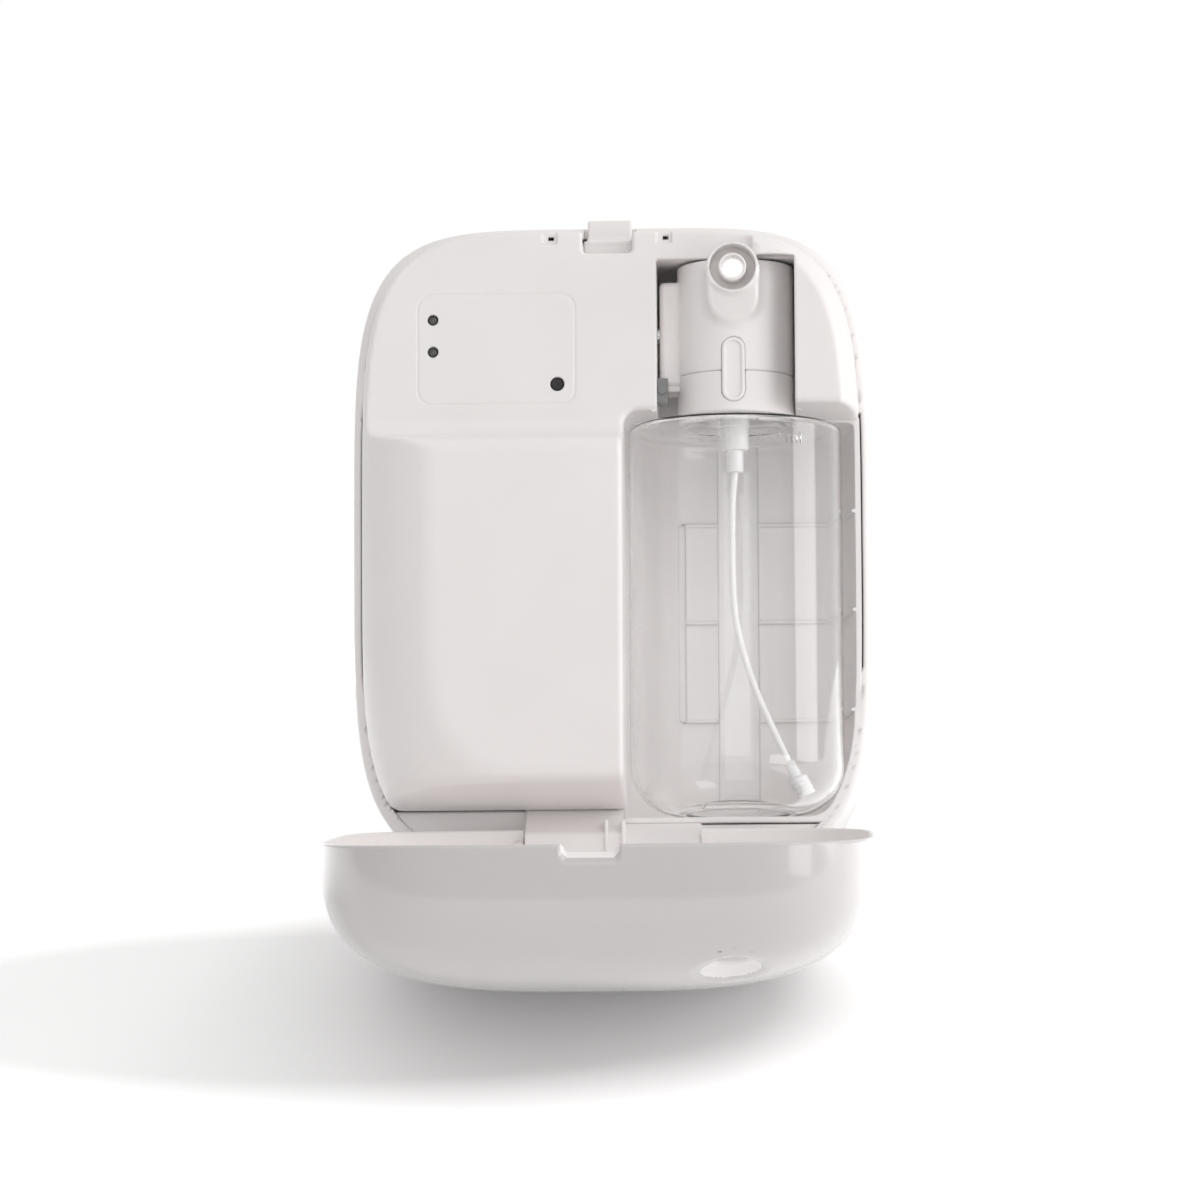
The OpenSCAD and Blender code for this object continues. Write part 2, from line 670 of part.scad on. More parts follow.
module motor() color("silver") difference() {
    union() {
        bar_x(plate_l - motor_len, plate_l, motor_at, motor_dia / 2);
        bar_x(plate_l - motor_len - 2, plate_l - motor_len + eps, motor_at, 4);
    }
    bar_x(plate_l - motor_len + 4, plate_l + 1, motor_at, motor_shaft_r + running);
    for (s = [-1, 1])
        bar_x(plate_l - 4, plate_l + 1, motor_screw_at(s), 1.3);
}
module gear_plate() polygon([[14, 64], [38, 52], [panel_d - 4, 58], [panel_d - 4, 88], [48, 90.5], [42, 97],
    [18, 97]]);
module gearbox_frame() color("lightgray") difference() {
    union() {
        along_x(plate_l, plate_l + plate_t) gear_plate();
        along_x(plate_r, plate_r + plate_t) gear_plate();
        for (p = gear_posts)
            bar_x(plate_l + 1, p[0] > chamber_back + 2 ? chamber_l - panel_t : plate_r + 1, p, 2.2);
    }
    bar_x(plate_l - 1, plate_l + 3, motor_at, 3.4);
    bar_x(plate_l - 1, plate_r + 3, axle_at, axle_r);
    bar_x(plate_r - 1, plate_r + 3, drive_at, shaft_r + running);
    for (s = [-1, 1])
        bar_x(plate_l - 1, plate_l + 3, motor_screw_at(s), 1.3);
}
// A gear with its face towards +X
module gear(x, width, at, n, phase) {
    translate([x, -at[0], at[1]]) rotate([90, 0, 90]) linear_extrude(width) polygon(gear_points(n, phase));
}
module motor_pinion() color("gold") {
    gear(wheel_x - 0.5, wheel_w + 1, motor_at, pinion_n, wheel_dir + 180 + 180 / pinion_n);
    bar_x(plate_l - 20, wheel_x, motor_at, motor_shaft_r);
}
module reduction_gear() color("ivory") difference() {
    union() {
        gear(wheel_x, wheel_w, axle_at, wheel_n, wheel_dir);
        gear(wheel_x + wheel_w - eps, plate_r - 0.5 - wheel_x - wheel_w, axle_at, step_n,
             step_dir + 180 + 180 / step_n);
    }
    bar_x(wheel_x - 1, plate_r, axle_at, axle_r + running);
}
module reduction_axle() color("silver") bar_x(plate_l, plate_r + plate_t, axle_at, axle_r);
module output_gear() color("ivory") difference() {
    gear(output_x, gear_w, drive_at, output_n, step_dir);
    bar_x(output_x - 1, output_x + gear_w + 1, drive_at, shaft_r);
}
module drive_shaft() color("silver") {
    bar_x(output_x, shaft_end, drive_at, shaft_r);
    block([shaft_end - eps, drive_at[0] - tongue_t / 2, drive_at[1] - shaft_r + 0.4],
          [shaft_end + tongue_len, drive_at[0] + tongue_t / 2, drive_at[1] + shaft_r - 0.4]);
}

module head_wall(low, high) {
    translate([bottle_x, -bottle_d, low]) cylinder(h = high - low, r = head_r);
}
module key_hole(room, d0, d1) slab(d0, d1) {
    r = key_w / 2 + room;
    low = key_low + key_w / 2;
    high = key_high - key_w / 2;
    translate([bottle_x, low]) circle(r);
    translate([bottle_x, high]) circle(r);
    translate([bottle_x - r, low]) square([2 * r, high - low]);
}
module pump_head() color("white") difference() {
    union() {
        head_wall(head_seam, head_top);
        bar_y([bottle_x, nozzle_z], panel_d + 0.6, nozzle_tip - 0.5, boss_r);
        slab(bottle_d + 8, ridge_front) translate([bottle_x, nozzle_z - 9]) {
            circle(boss_r);
            translate([-boss_r, 0]) square([2 * boss_r, 9]);
        }
        block([lug_l, lug_back, lug_low], [bottle_x - head_r + 4, lug_front, lug_high]);
        block([bottle_x - 8, chamber_back, 60], [bottle_x + 8, bottle_d - head_r + 4, 82]);
    }
    bar_z([bottle_x, bottle_d], head_seam - 1, head_top - head_t, head_r - head_t);
    bar_y([bottle_x, nozzle_z], boss_floor, nozzle_tip + 2, boss_bore);
    bar_y([bottle_x, nozzle_z], bottle_d, nozzle_tip, nozzle_r);
    bar_x(lug_l - 1, bottle_x, drive_at, journal_r + clearance);
    key_hole(clearance, bottle_d + 6, nozzle_tip + 5);
}
module pump_collar() color("white") difference() {
    head_wall(collar_low, head_seam);
    bar_z([bottle_x, bottle_d], collar_low - 1, web_low, neck_r + clearance);
    bar_z([bottle_x, bottle_d], web_low - 1, head_seam + 1, 7.8);
    key_hole(clearance, bottle_d + block_r - 2, nozzle_tip + 5);
}
module pump_block() color("lightgray") difference() {
    union() {
        bar_z([bottle_x, bottle_d], head_seam, nozzle_z - 5.5, block_r);
        bar_z([bottle_x, bottle_d], head_seam, head_top - head_t, 6);
    }
    bar_x(0, rotor_l - 0.2, drive_at, journal_r + running);
    bar_x(rotor_l - 0.2, chamber_r, drive_at, rotor_r + running);
    bar_z([bottle_x, bottle_d], head_seam - 1, drive_z, 1.6);
    bar_z([bottle_x, bottle_d], drive_z, nozzle_z, 1.6);
    bar_y([bottle_x, nozzle_z], bottle_d - 1, bottle_d + 12, nozzle_r + clearance);
    key_hole(clearance, bottle_d + block_r - 1.5, nozzle_tip);
}
module pump_rotor() color("dimgray") difference() {
    union() {
        bar_x(journal_l, rotor_l + 1, drive_at, journal_r);
        bar_x(rotor_l, rotor_l + rotor_len, drive_at, rotor_r);
    }
    for (a = [0:60:300])
        bar_x(rotor_l + 2, rotor_l + rotor_len - 2, drive_at + rotor_r * [cos(a), sin(a)], 1.2);
    block([journal_l - 1, drive_at[0] - slot_w / 2, drive_at[1] - 2.9],
          [shaft_end + tongue_len + clearance, drive_at[0] + slot_w / 2, drive_at[1] + 2.9]);
}
module nozzle_tube() color("white") difference() {
    bar_y([bottle_x, nozzle_z], bottle_d + 7, nozzle_tip, nozzle_r);
    bar_y([bottle_x, nozzle_z], bottle_d + 6, nozzle_tip + 1, nozzle_bore);
}
module foam_mesh() color("silver") bar_y([bottle_x, nozzle_z], nozzle_tip - 4, nozzle_tip - 3.4, nozzle_bore);
module release_key() color("whitesmoke") difference() {
    key_hole(0, bottle_d + block_r - 1.5 + key_travel + clearance, bottle_d + head_r + 0.9);
    slab(bottle_d + head_r + 0.2, bottle_d + head_r + 2)
        translate([bottle_x - key_w / 2 + 1, key_low + key_w / 2])
            square([key_w - 2, key_high - key_low - key_w]);
}
module neck_seal() color("gray") difference() {
    bar_z([bottle_x, bottle_d], neck_top, web_low, neck_r - 0.2);
    bar_z([bottle_x, bottle_d], neck_top - 1, web_low + 1, 9);
}

// Half section of the bottle, with every wall set in by w
function bottle_section(w) = concat(
    [[0, bottle_base + 1.2 + w], [base_ring / 2 - 5, bottle_base + 1.2 + w],
     [base_ring / 2 - 2.4 + w / 2, bottle_base + w], [base_ring / 2 - w / 3, bottle_base + w]],
    [for (i = [1:8]) let (a = 90 * i / 8)
        [base_ring / 2 + (bottle_r - base_ring / 2) * sin(a) - w,
         base_bend - (base_bend - bottle_base) * cos(a) + w * (1 - i / 8)]],
    arc([bottle_r - 3, bottle_top - 4], 3 - w, 0, 90),
    [[neck_r + 3, bottle_top - 0.6 - w], [neck_r - w, bottle_top + 0.8 - w]]);
module bottle() color("aliceblue", 0.5) translate([bottle_x, -bottle_d, 0]) difference() {
    rotate_extrude($fn = 64) polygon(concat(bottle_section(0), [[neck_r, neck_top], [0, neck_top]]));
    rotate_extrude($fn = 64) polygon(concat(bottle_section(bottle_t),
        [[neck_r - bottle_t, neck_top + 1], [0, neck_top + 1]]));
}
module intake_fitting() color("white") difference() {
    union() {
        bar_z([bottle_x, bottle_d], fitting_low, head_seam, fitting_r);
        bar_z([bottle_x, bottle_d], stem_low, fitting_low + eps, stem_r);
    }
    bar_z([bottle_x, bottle_d], stem_low - 1, head_seam + 1, dip_dia / 2);
}
module dip_tube() color("white")
    tube([for (p = smooth(dip_route, 4)) [p[0], -bottle_d, p[1]]], dip_dia / 2, [0, 1, 0]);
module filter_weight() {
    end = dip_route[len(dip_route) - 1];
    way = end - dip_route[len(dip_route) - 2];
    color("white") translate([end[0], -bottle_d, end[1]]) rotate([0, atan2(way[0], way[1]), 0]) difference() {
        union() {
            cylinder(h = filter_len, r = filter_r);
            translate([0, 0, -filter_sleeve]) cylinder(h = filter_sleeve + 1, r = filter_sleeve_r);
        }
        translate([0, 0, -filter_sleeve - 1])
            cylinder(h = filter_sleeve + 1, r = dip_dia / 2 + clearance / 2);
        for (z = [1.4, 3.2, 5])
            translate([0, 0, z]) rotate([90, 0, 0]) translate([0, 0, filter_r - 1]) cylinder(h = 3, r = 0.5);
    }
}

module cover_pose() translate([0, -hinge_d, hinge_z]) rotate([cover_open, 0, 0])
    translate([0, hinge_d, -hinge_z]) children();
module front_cover() color("white") cover_pose() difference() {
    union() {
        polyhedron(concat(flat([for (k = [dome_steps:-1:0]) dome_ring(cover_t, k)]), flat(dome_rings(0))),
            stack_faces(2 * dome_steps + 2, outline_n), convexity = 8);
        both_sides() along_x(hinge_w / 2 + 0.3, hinge_w / 2 + 0.3 + ear_t) intersection() {
            union() {
                translate([hinge_d, hinge_z]) circle(4.6);
                translate([hinge_d - 3, -half_h + 0.4]) square([9, barrel_r + 2]);
            }
            translate([rim_d + 1, -half_h + 0.4]) square(20);
        }
        // Rib that the latch holds
        block([-5, latch_front + 1.4, half_h - 4.4], [5, latch_front + 3, half_h - 1]);
    }
    // Notches for the hinge block and the latch's tab
    block([-hinge_w / 2 - 0.3, rim_d - 1, -half_h - 1],
          [hinge_w / 2 + 0.3, hinge_d + barrel_r + 1, hinge_z + 5]);
    intersection() {
        slab(rim_d - 1, rim_d + notch_out) translate([0, half_h - 5])
            polygon([[-8, 0], [8, 0], [9.2, 8], [-9.2, 8]]);
        along_x(-10, 10) polygon([[rim_d - 1, half_h - 4], [rim_d + notch_in, half_h - cover_t],
            [rim_d + notch_out, half_h], [rim_d + notch_out, half_h + 3], [rim_d - 1, half_h + 3]]);
    }
    both_sides() bar_x(hinge_w / 2 - 1, hinge_w / 2 + ear_t + 2, [hinge_d, hinge_z], hinge_pin / 2);
    bar_y([bottle_x, nozzle_z], rim_d + 10, rim_d + 60, outlet_bore / 2);
}
module hinge_pins() color("silver") both_sides()
    bar_x(hinge_w / 2 - 8.5, hinge_w / 2 + 0.3 + ear_t, [hinge_d, hinge_z], hinge_pin / 2);

module latch_button() color("white") {
    block([-tab_w / 2, latch_back, latch_low], [tab_w / 2, latch_front, tab_foot]);
    block([-tab_w / 2, latch_back, latch_low], [tab_w / 2, latch_back + tab_t, half_h + tab_rise]);
    block([-pocket_w / 2 + 0.6, latch_front - 1.1, pocket_low + latch_travel + 0.3],
          [pocket_w / 2 - 0.6, latch_front, half_h - 5.5]);
    block([-5, latch_front - eps, latch_low], [5, latch_front + 4.6, half_h - 6]);
    block([-5, latch_front + 3.4, latch_low], [5, latch_front + 4.6, half_h - 4.8]);
}
module latch_spring() color("silver") translate([0, -(latch_back + 2.7), pocket_low])
    coil(2, 2, 0.35, 4, latch_low - pocket_low);

module housing_screws() color("silver") for (p = posts_at) {
    bar_y(p, inside_d, inside_d + 2, screw_head_r);
    bar_y(p, inside_d + 2 - eps, post_d + 11, screw_r);
}
module board_screws() color("silver") for (p = board_holes) {
    bar_y(p, board_d - 1.4, board_d, 1.9);
    bar_y(p, board_d - eps, board_d + board_t + 4.6, 0.9);
}
module motor_screws() color("silver") for (s = [-1, 1]) {
    at = motor_screw_at(s);
    bar_x(plate_l + plate_t, plate_l + plate_t + 0.9, at, 2.2);
    bar_x(plate_l - 3.6, plate_l + plate_t + eps, at, 1.25);
}

wall_bracket();
rear_housing();
front_panel();
bottle_bay();
battery_box();
batteries();
battery_contacts();
battery_door();
door_springs();
circuit_board();
status_lights();
button_switch();
mode_button();
hand_sensor();
motor();
gearbox_frame();
motor_pinion();
reduction_gear();
reduction_axle();
output_gear();
drive_shaft();
pump_head();
pump_collar();
pump_block();
pump_rotor();
nozzle_tube();
foam_mesh();
release_key();
neck_seal();
bottle();
intake_fitting();
dip_tube();
filter_weight();
front_cover();
hinge_pins();
latch_button();
latch_spring();
housing_screws();
board_screws();
motor_screws();
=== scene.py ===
"""Looks of the wall mounted soap dispenser: moulded shells, clear bottle, pump and studio."""
import json
import math

import bmesh
import bpy
import numpy as np
from mathutils import Matrix, Vector


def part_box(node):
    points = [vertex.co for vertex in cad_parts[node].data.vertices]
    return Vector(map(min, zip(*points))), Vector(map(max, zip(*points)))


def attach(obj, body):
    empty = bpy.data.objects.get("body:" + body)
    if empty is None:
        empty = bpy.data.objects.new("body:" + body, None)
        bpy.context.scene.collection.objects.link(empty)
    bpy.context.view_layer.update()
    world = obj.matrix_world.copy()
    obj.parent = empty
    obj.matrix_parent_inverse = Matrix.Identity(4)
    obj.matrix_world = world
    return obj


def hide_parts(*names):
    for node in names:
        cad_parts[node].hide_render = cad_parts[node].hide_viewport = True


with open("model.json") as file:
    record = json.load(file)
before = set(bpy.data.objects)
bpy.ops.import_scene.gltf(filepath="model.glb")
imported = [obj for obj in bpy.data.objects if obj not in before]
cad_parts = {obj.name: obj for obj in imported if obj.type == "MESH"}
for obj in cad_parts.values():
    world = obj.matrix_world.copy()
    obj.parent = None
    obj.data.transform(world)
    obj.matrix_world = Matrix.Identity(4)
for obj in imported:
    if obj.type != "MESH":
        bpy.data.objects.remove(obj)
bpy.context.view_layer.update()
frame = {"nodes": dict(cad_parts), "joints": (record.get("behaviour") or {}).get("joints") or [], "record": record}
joints = {j["name"]: j for j in frame["joints"]}
slots = {m["slot"]: m for m in frame["record"]["materials"]}

MM = 0.001


def box_mm(node):
    """Lowest and highest corner of a CAD node as (x, depth, z) in millimetres; depth is -Y."""
    low, high = (np.array(v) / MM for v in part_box(node))
    return np.array([low[0], -high[1], low[2]]), np.array([high[0], -low[1], high[2]])


# Sizes in millimetres
_, CASE_HIGH = box_mm("rear_housing")
HEAD_LOW, _ = box_mm("pump_head")
COLLAR_LOW, COLLAR_HIGH = box_mm("pump_collar")
BOTTLE_LOW, BOTTLE_HIGH = box_mm("bottle")
TUBE_LOW, TUBE_HIGH = box_mm("nozzle_tube")
KEY_LOW, KEY_HIGH = box_mm("release_key")
DOOR_LOW, DOOR_HIGH = box_mm("battery_door")
LATCH_LOW, LATCH_HIGH = box_mm("latch_button")
HINGE_D, HINGE_Z = -joints["cover_hinge"]["pos_m"][1] / MM, joints["cover_hinge"]["pos_m"][2] / MM
OPEN = math.radians(-joints["cover_hinge"]["range_deg"][0])

HALF_W = CASE_HIGH[0]
HALF_H = CASE_HIGH[2]
EXTRA = HALF_H - HALF_W
SQUARE_X = 5.2
SQUARE_Z = 4.5
RIM_D = 52.0
SHELL_T = 2.6
BACK_D = 3.4
PANEL_IN = 3.2
PANEL_T = 2.0
COVER_DEPTH = 46.6
COVER_T = 2.2
DOME_SQUARE = 3.2
HINGE_HALF = 28.6

FLAT_D = 70.0
COLUMN_D = 78.0
BULGE_D = 90.0
WALL_X = 4.6
BULGE_TOP = 32.5
BULGE_LOW = -81.0
SEAM_Z = -87.0
CHAMBER_X = (15.6, 60.9)
CHAMBER_TOP = 92.0
CHAMBER_BACK = 30.0
BAY_TOP = 40.0
BAY_FLOOR = -90.0
BAY_BACK = 18.0
BAY_UNDER = BAY_FLOOR - 2.4
RECESS_X = (22.8, 45.3)
RECESS_BACK = FLAT_D - 9
RECESS_TOP = HALF_H - 5.4
GRIP_Z = 0.5
GRIP_HALF = 42.5
RIBS = (-1.9, 3.6)
HEAD_TOP = 91.2
LUG_X = 16.4
KEY_GAP = 0.02
DISH = (43.2, 108.6, 90.7)
DISH_R = 21.7
POCKET_X = 8.5
POCKET_Z = 94.4
SNAP_X, SNAP_Z = 18.8, 99.4
POSTS = ((-66, 84), (-66, -20), (-66, -76), (70, 76))
HOOKS = ((-30, 46), (30, 46), (-30, -44), (30, -44))
LIGHTS = ((-57.7, 72.6), (-57.7, 62.0))
BUTTON = (-17.0, 51.0)
LABEL_X, LABEL_Z, LABEL_R = (-62.7, -11.2), (44.5, 81.0), 4.8

AXIS_X = (BOTTLE_LOW[0] + BOTTLE_HIGH[0]) / 2
AXIS_D = (BOTTLE_LOW[1] + BOTTLE_HIGH[1]) / 2
BOTTLE_R = (BOTTLE_HIGH[0] - BOTTLE_LOW[0]) / 2
HEAD_R = (COLLAR_HIGH[0] - COLLAR_LOW[0]) / 2 + 0.75
HEAD_X = AXIS_X + 0.5
NOZZLE_Z = (TUBE_LOW[2] + TUBE_HIGH[2]) / 2
NOZZLE_R = (TUBE_HIGH[2] - TUBE_LOW[2]) / 2
NOZZLE_TIP = TUBE_HIGH[1]
BOSS_R = 8.5


# ---------------------------------------------------------------- distance shapes
# A shape is a function of (x, depth, z) that is negative inside and grows by
# about one per millimetre, so that shapes can be joined and cut with round edges.

def both(a, b, r=0.0):
    """What lies in a and in b, with the edge rounded to r."""
    if not r:
        return np.maximum(a, b)
    return np.minimum(np.maximum(a, b), -r) + np.hypot(np.maximum(a + r, 0), np.maximum(b + r, 0))


def either(a, b, r=0.0):
    """What lies in a or in b, with the inner corner rounded to r."""
    return -both(-a, -b, r)


def without(a, b, r=0.0):
    """a with b taken away, with the edge rounded to r."""
    return both(a, -b, r)


def span(v, low, high):
    return np.maximum(low - v, v - high)


def brick(x, d, z, xs, ds, zs, r=0.0):
    """A box from three (low, high) pairs, with its edges rounded to r."""
    return both(both(span(x, *xs), span(d, *ds), r), span(z, *zs), r)


def rod(a, b, along, centre, radius, low, high, r=0.0):
    """A round bar along one axis; centre is its place in the other two."""
    return both(np.hypot(a - centre[0], b - centre[1]) - radius, span(along, low, high), r)


def leaning(u, v, at, normal):
    """The half of space behind the line through at with that outward normal."""
    n = np.array(normal, float) / math.hypot(*normal)
    return (u - at[0]) * n[0] + (v - at[1]) * n[1]


def stadium(x, z, xs, zs):
    """An upright slot with round ends."""
    r = (xs[1] - xs[0]) / 2
    mid = (xs[0] + xs[1]) / 2
    return np.hypot(x - mid, z - np.clip(z, zs[0] + r, zs[1] - r)) - r


def ring_width(x, z):
    """Half width of the outline's ring that passes through (x, z)."""
    ax, az = np.abs(x) + 1e-6, np.abs(z) + 1e-6
    w = np.maximum(np.maximum(ax, az - EXTRA), 20.0)
    for _ in range(9):
        a, b = (ax / w) ** SQUARE_X, (az / (w + EXTRA)) ** SQUARE_Z
        w = w + np.maximum(a + b - 1, 0) / (SQUARE_X * a / w + SQUARE_Z * b / (w + EXTRA))
    return w


def prism(x, z, inset):
    """The casing's outline, set in by a distance and pushed out of the wall without end."""
    return ring_width(x, z) - (HALF_W - inset)


def dome(x, d, z, inset):
    """The cover's outer form, set in by a distance, with the prism behind its rim."""
    width, depth, n = HALF_W - inset, COVER_DEPTH - inset, DOME_SQUARE
    s = ring_width(x, z) / width
    t = np.maximum(d - RIM_D, 0) / depth
    f = (s ** n + t ** n) ** (1 / n)
    slope = f ** (1 - n) * np.hypot(s ** (n - 1) / width, t ** (n - 1) / depth)
    return (f - 1) / np.maximum(slope, 1 / (2 * HALF_W))


# ---------------------------------------------------------------- meshing
def ticks(low, high, step, fine=()):
    """Grid lines from low to high, closer together in each fine (low, high, step)."""
    out = [low]
    while out[-1] < high:
        here = out[-1] + 1e-6
        pace = min([step] + [s for a, b, s in fine if a <= here < b])
        ahead = [a for a, b, s in fine if here < a < here + pace]
        out.append(min([out[-1] + pace] + ahead))
    return np.array(out)


def slope_of(shape, p, h=0.01):
    """Gradient of a shape at many points."""
    g = np.empty_like(p)
    for k in range(3):
        move = np.zeros(3)
        move[k] = h
        g[:, k] = (shape(*(p + move).T) - shape(*(p - move).T)) / (2 * h)
    return g


def surface(shape, xs, ds, zs):
    """Quads on the zero level of a shape, pulled on to its true surface, with their normals."""
    axes = (xs, ds, zs)
    size = tuple(len(a) for a in axes)
    grid = np.array(np.broadcast_to(shape(xs[:, None, None], ds[None, :, None], zs[None, None, :]), size))
    inside = grid < 0
    cells = tuple(n - 1 for n in size)
    total = np.zeros(cells + (3,))
    count = np.zeros(cells)
    quads = []
    for axis in range(3):
        head, tail = [slice(None)] * 3, [slice(None)] * 3
        head[axis], tail[axis] = slice(0, -1), slice(1, None)
        a, b = grid[tuple(head)], grid[tuple(tail)]
        cross = inside[tuple(head)] != inside[tuple(tail)]
        at = np.argwhere(cross)
        share = a[cross] / (a[cross] - b[cross])
        place = np.stack([axes[k][at[:, k]] for k in range(3)], 1)
        place[:, axis] += share * (axes[axis][at[:, axis] + 1] - axes[axis][at[:, axis]])
        u, v = [k for k in range(3) if k != axis]
        corners = []
        for du, dv in ((0, 0), (1, 0), (1, 1), (0, 1)):
            cell = at.copy()
            cell[:, u] -= du
            cell[:, v] -= dv
            fits = np.all((cell >= 0) & (cell < cells), 1)
            np.add.at(total, tuple(cell[fits].T), place[fits])
            np.add.at(count, tuple(cell[fits].T), 1)
            corners.append((cell, fits))
        fits = np.all([c[1] for c in corners], 0)
        quad = np.stack([np.ravel_multi_index(tuple(c[0][fits].T), cells) for c in corners], 1)
        turned = inside[tuple(head)][cross][fits] ^ (axis == 1)
        quad[~turned] = quad[~turned][:, ::-1]
        quads.append(quad)
    quads = np.concatenate(quads)
    used, index = np.unique(quads, return_inverse=True)
    points = total.reshape(-1, 3)[used] / count.reshape(-1)[used][:, None]
    for _ in range(3):
        g = slope_of(shape, points)
        pull = shape(*points.T) / np.maximum((g ** 2).sum(1), 0.3)
        points = points - g * np.clip(pull, -0.5, 0.5)[:, None]
    g = slope_of(shape, points)
    return points, index.reshape(-1, 4), g / np.maximum(np.linalg.norm(g, axis=1), 1e-6)[:, None]


TO_ROW = np.array([1, -1, 1]) * MM


def add(name, mesh):
    obj = bpy.data.objects.new(name, mesh)
    bpy.context.scene.collection.objects.link(obj)
    return obj


def mesh_of(name, points, faces, smooth=True):
    """A mesh object from (x, depth, z) points in millimetres."""
    mesh = bpy.data.meshes.new(name)
    mesh.from_pydata((np.asarray(points) * TO_ROW).tolist(), [], [list(map(int, f)) for f in faces])
    mesh.polygons.foreach_set("use_smooth", np.full(len(mesh.polygons), smooth))
    mesh.update()
    return add(name, mesh)


def shell(name, shape, xs, ds, zs, turn=0.0):
    """A mesh object of a distance shape, with its true normals, turned about the hinge."""
    points, quads, normals = surface(shape, xs, ds, zs)
    quads = quads[:, ::-1]
    if turn:
        c, s = math.cos(turn), math.sin(turn)
        away = points[:, 1:] - (HINGE_D, HINGE_Z)
        spin = np.array([[c, -s], [s, c]])
        points[:, 1:] = away @ spin + (HINGE_D, HINGE_Z)
        normals[:, 1:] = normals[:, 1:] @ spin
    mesh = bpy.data.meshes.new(name)
    mesh.vertices.add(len(points))
    mesh.vertices.foreach_set("co", (points * TO_ROW).astype(np.float32).ravel())
    mesh.loops.add(quads.size)
    mesh.loops.foreach_set("vertex_index", quads.astype(np.int32).ravel())
    mesh.polygons.add(len(quads))
    mesh.polygons.foreach_set("loop_start", np.arange(0, quads.size, 4, dtype=np.int32))
    mesh.polygons.foreach_set("use_smooth", np.ones(len(quads), bool))
    mesh.update(calc_edges=True)
    mesh.normals_split_custom_set_from_vertices((normals * (1, -1, 1)).astype(np.float32))
    return add(name, mesh)


def lathe(name, profile, axis="z", steps=96, at=(0, 0)):
    """Turns a closed [radius, height] profile about an axis through at."""
    turn = np.linspace(0, 2 * math.pi, steps, endpoint=False)
    r, h = np.array(profile, float).T
    a = r[:, None] * np.cos(turn) + at[0]
    b = r[:, None] * np.sin(turn) + at[1]
    c = np.broadcast_to(h[:, None], a.shape)
    order = {"z": (a, b, c), "d": (a, c, b), "x": (c, a, b)}[axis]
    points = np.stack(order, -1).reshape(-1, 3)
    faces = []
    for k in range(len(profile)):
        n = (k + 1) % len(profile)
        for i in range(steps):
            j = (i + 1) % steps
            faces.append((k * steps + i, n * steps + i, n * steps + j, k * steps + j))
    obj = mesh_of(name, points, faces)
    bm = bmesh.new()
    bm.from_mesh(obj.data)
    bmesh.ops.remove_doubles(bm, verts=bm.verts, dist=1e-6)
    bmesh.ops.recalc_face_normals(bm, faces=bm.faces)
    bm.to_mesh(obj.data)
    bm.free()
    return obj


def arc(centre, r, start, end, n=8):
    """Points on an arc, angles in degrees."""
    a = np.radians(np.linspace(start, end, n))
    return [(centre[0] + r * math.cos(t), centre[1] + r * math.sin(t)) for t in a]


def crease(obj, degrees=35):
    """Smooth shading with sharp edges kept sharp."""
    obj.data.polygons.foreach_set("use_smooth", np.ones(len(obj.data.polygons), bool))
    bm = bmesh.new()
    bm.from_mesh(obj.data)
    for edge in bm.edges:
        edge.smooth = len(edge.link_faces) == 2 and edge.calc_face_angle(0) < math.radians(degrees)
    bm.to_mesh(obj.data)
    bm.free()
    return obj


# ---------------------------------------------------------------- materials
def new_material(name):
    mat = bpy.data.materials.new(name)
    mat.use_nodes = True
    return mat, mat.node_tree.nodes, mat.node_tree.links, mat.node_tree.nodes["Principled BSDF"]


def noise(nodes, links, scale, detail=3.0, rough=0.5, coords=None):
    """A noise texture in object space, scale in features per metre."""
    n = nodes.new("ShaderNodeTexNoise")
    n.inputs["Scale"].default_value = scale
    n.inputs["Detail"].default_value = detail
    n.inputs["Roughness"].default_value = rough
    if coords is None:
        coords = nodes.new("ShaderNodeTexCoord").outputs["Object"]
    links.new(coords, n.inputs["Vector"])
    return n


def ramp(nodes, links, source, low, high, start=0.3, end=0.7):
    """Two tones that a noise blends between."""
    r = nodes.new("ShaderNodeValToRGB")
    r.color_ramp.elements[0].position, r.color_ramp.elements[1].position = start, end
    r.color_ramp.elements[0].color, r.color_ramp.elements[1].color = (*low, 1), (*high, 1)
    links.new(source, r.inputs["Fac"])
    return r


def varied(mat_nodes, links, shader, base, tone, roughness, spread, scale=40.0):
    """A colour and a roughness that drift a little over the surface."""
    drift = noise(mat_nodes, links, scale)
    low = tuple(c * (1 - tone) for c in base)
    high = tuple(min(c * (1 + tone), 1) for c in base)
    links.new(ramp(mat_nodes, links, drift.outputs["Fac"], low, high).outputs["Color"],
              shader.inputs["Base Color"])
    gloss = mat_nodes.new("ShaderNodeMapRange")
    gloss.inputs["To Min"].default_value = roughness - spread
    gloss.inputs["To Max"].default_value = roughness + spread
    links.new(noise(mat_nodes, links, scale * 4).outputs["Fac"], gloss.inputs["Value"])
    links.new(gloss.outputs["Result"], shader.inputs["Roughness"])


def grain(nodes, links, shader, scale, strength, distance=0.0001, kind="noise"):
    """A fine bump."""
    if kind == "noise":
        tex = noise(nodes, links, scale, 2.0).outputs["Fac"]
    else:
        wave = nodes.new("ShaderNodeTexVoronoi")
        wave.inputs["Scale"].default_value = scale
        links.new(nodes.new("ShaderNodeTexCoord").outputs["Object"], wave.inputs["Vector"])
        tex = wave.outputs["Distance"]
    bump = nodes.new("ShaderNodeBump")
    bump.inputs["Strength"].default_value = strength
    bump.inputs["Distance"].default_value = distance
    links.new(tex, bump.inputs["Height"])
    links.new(bump.outputs["Normal"], shader.inputs["Normal"])


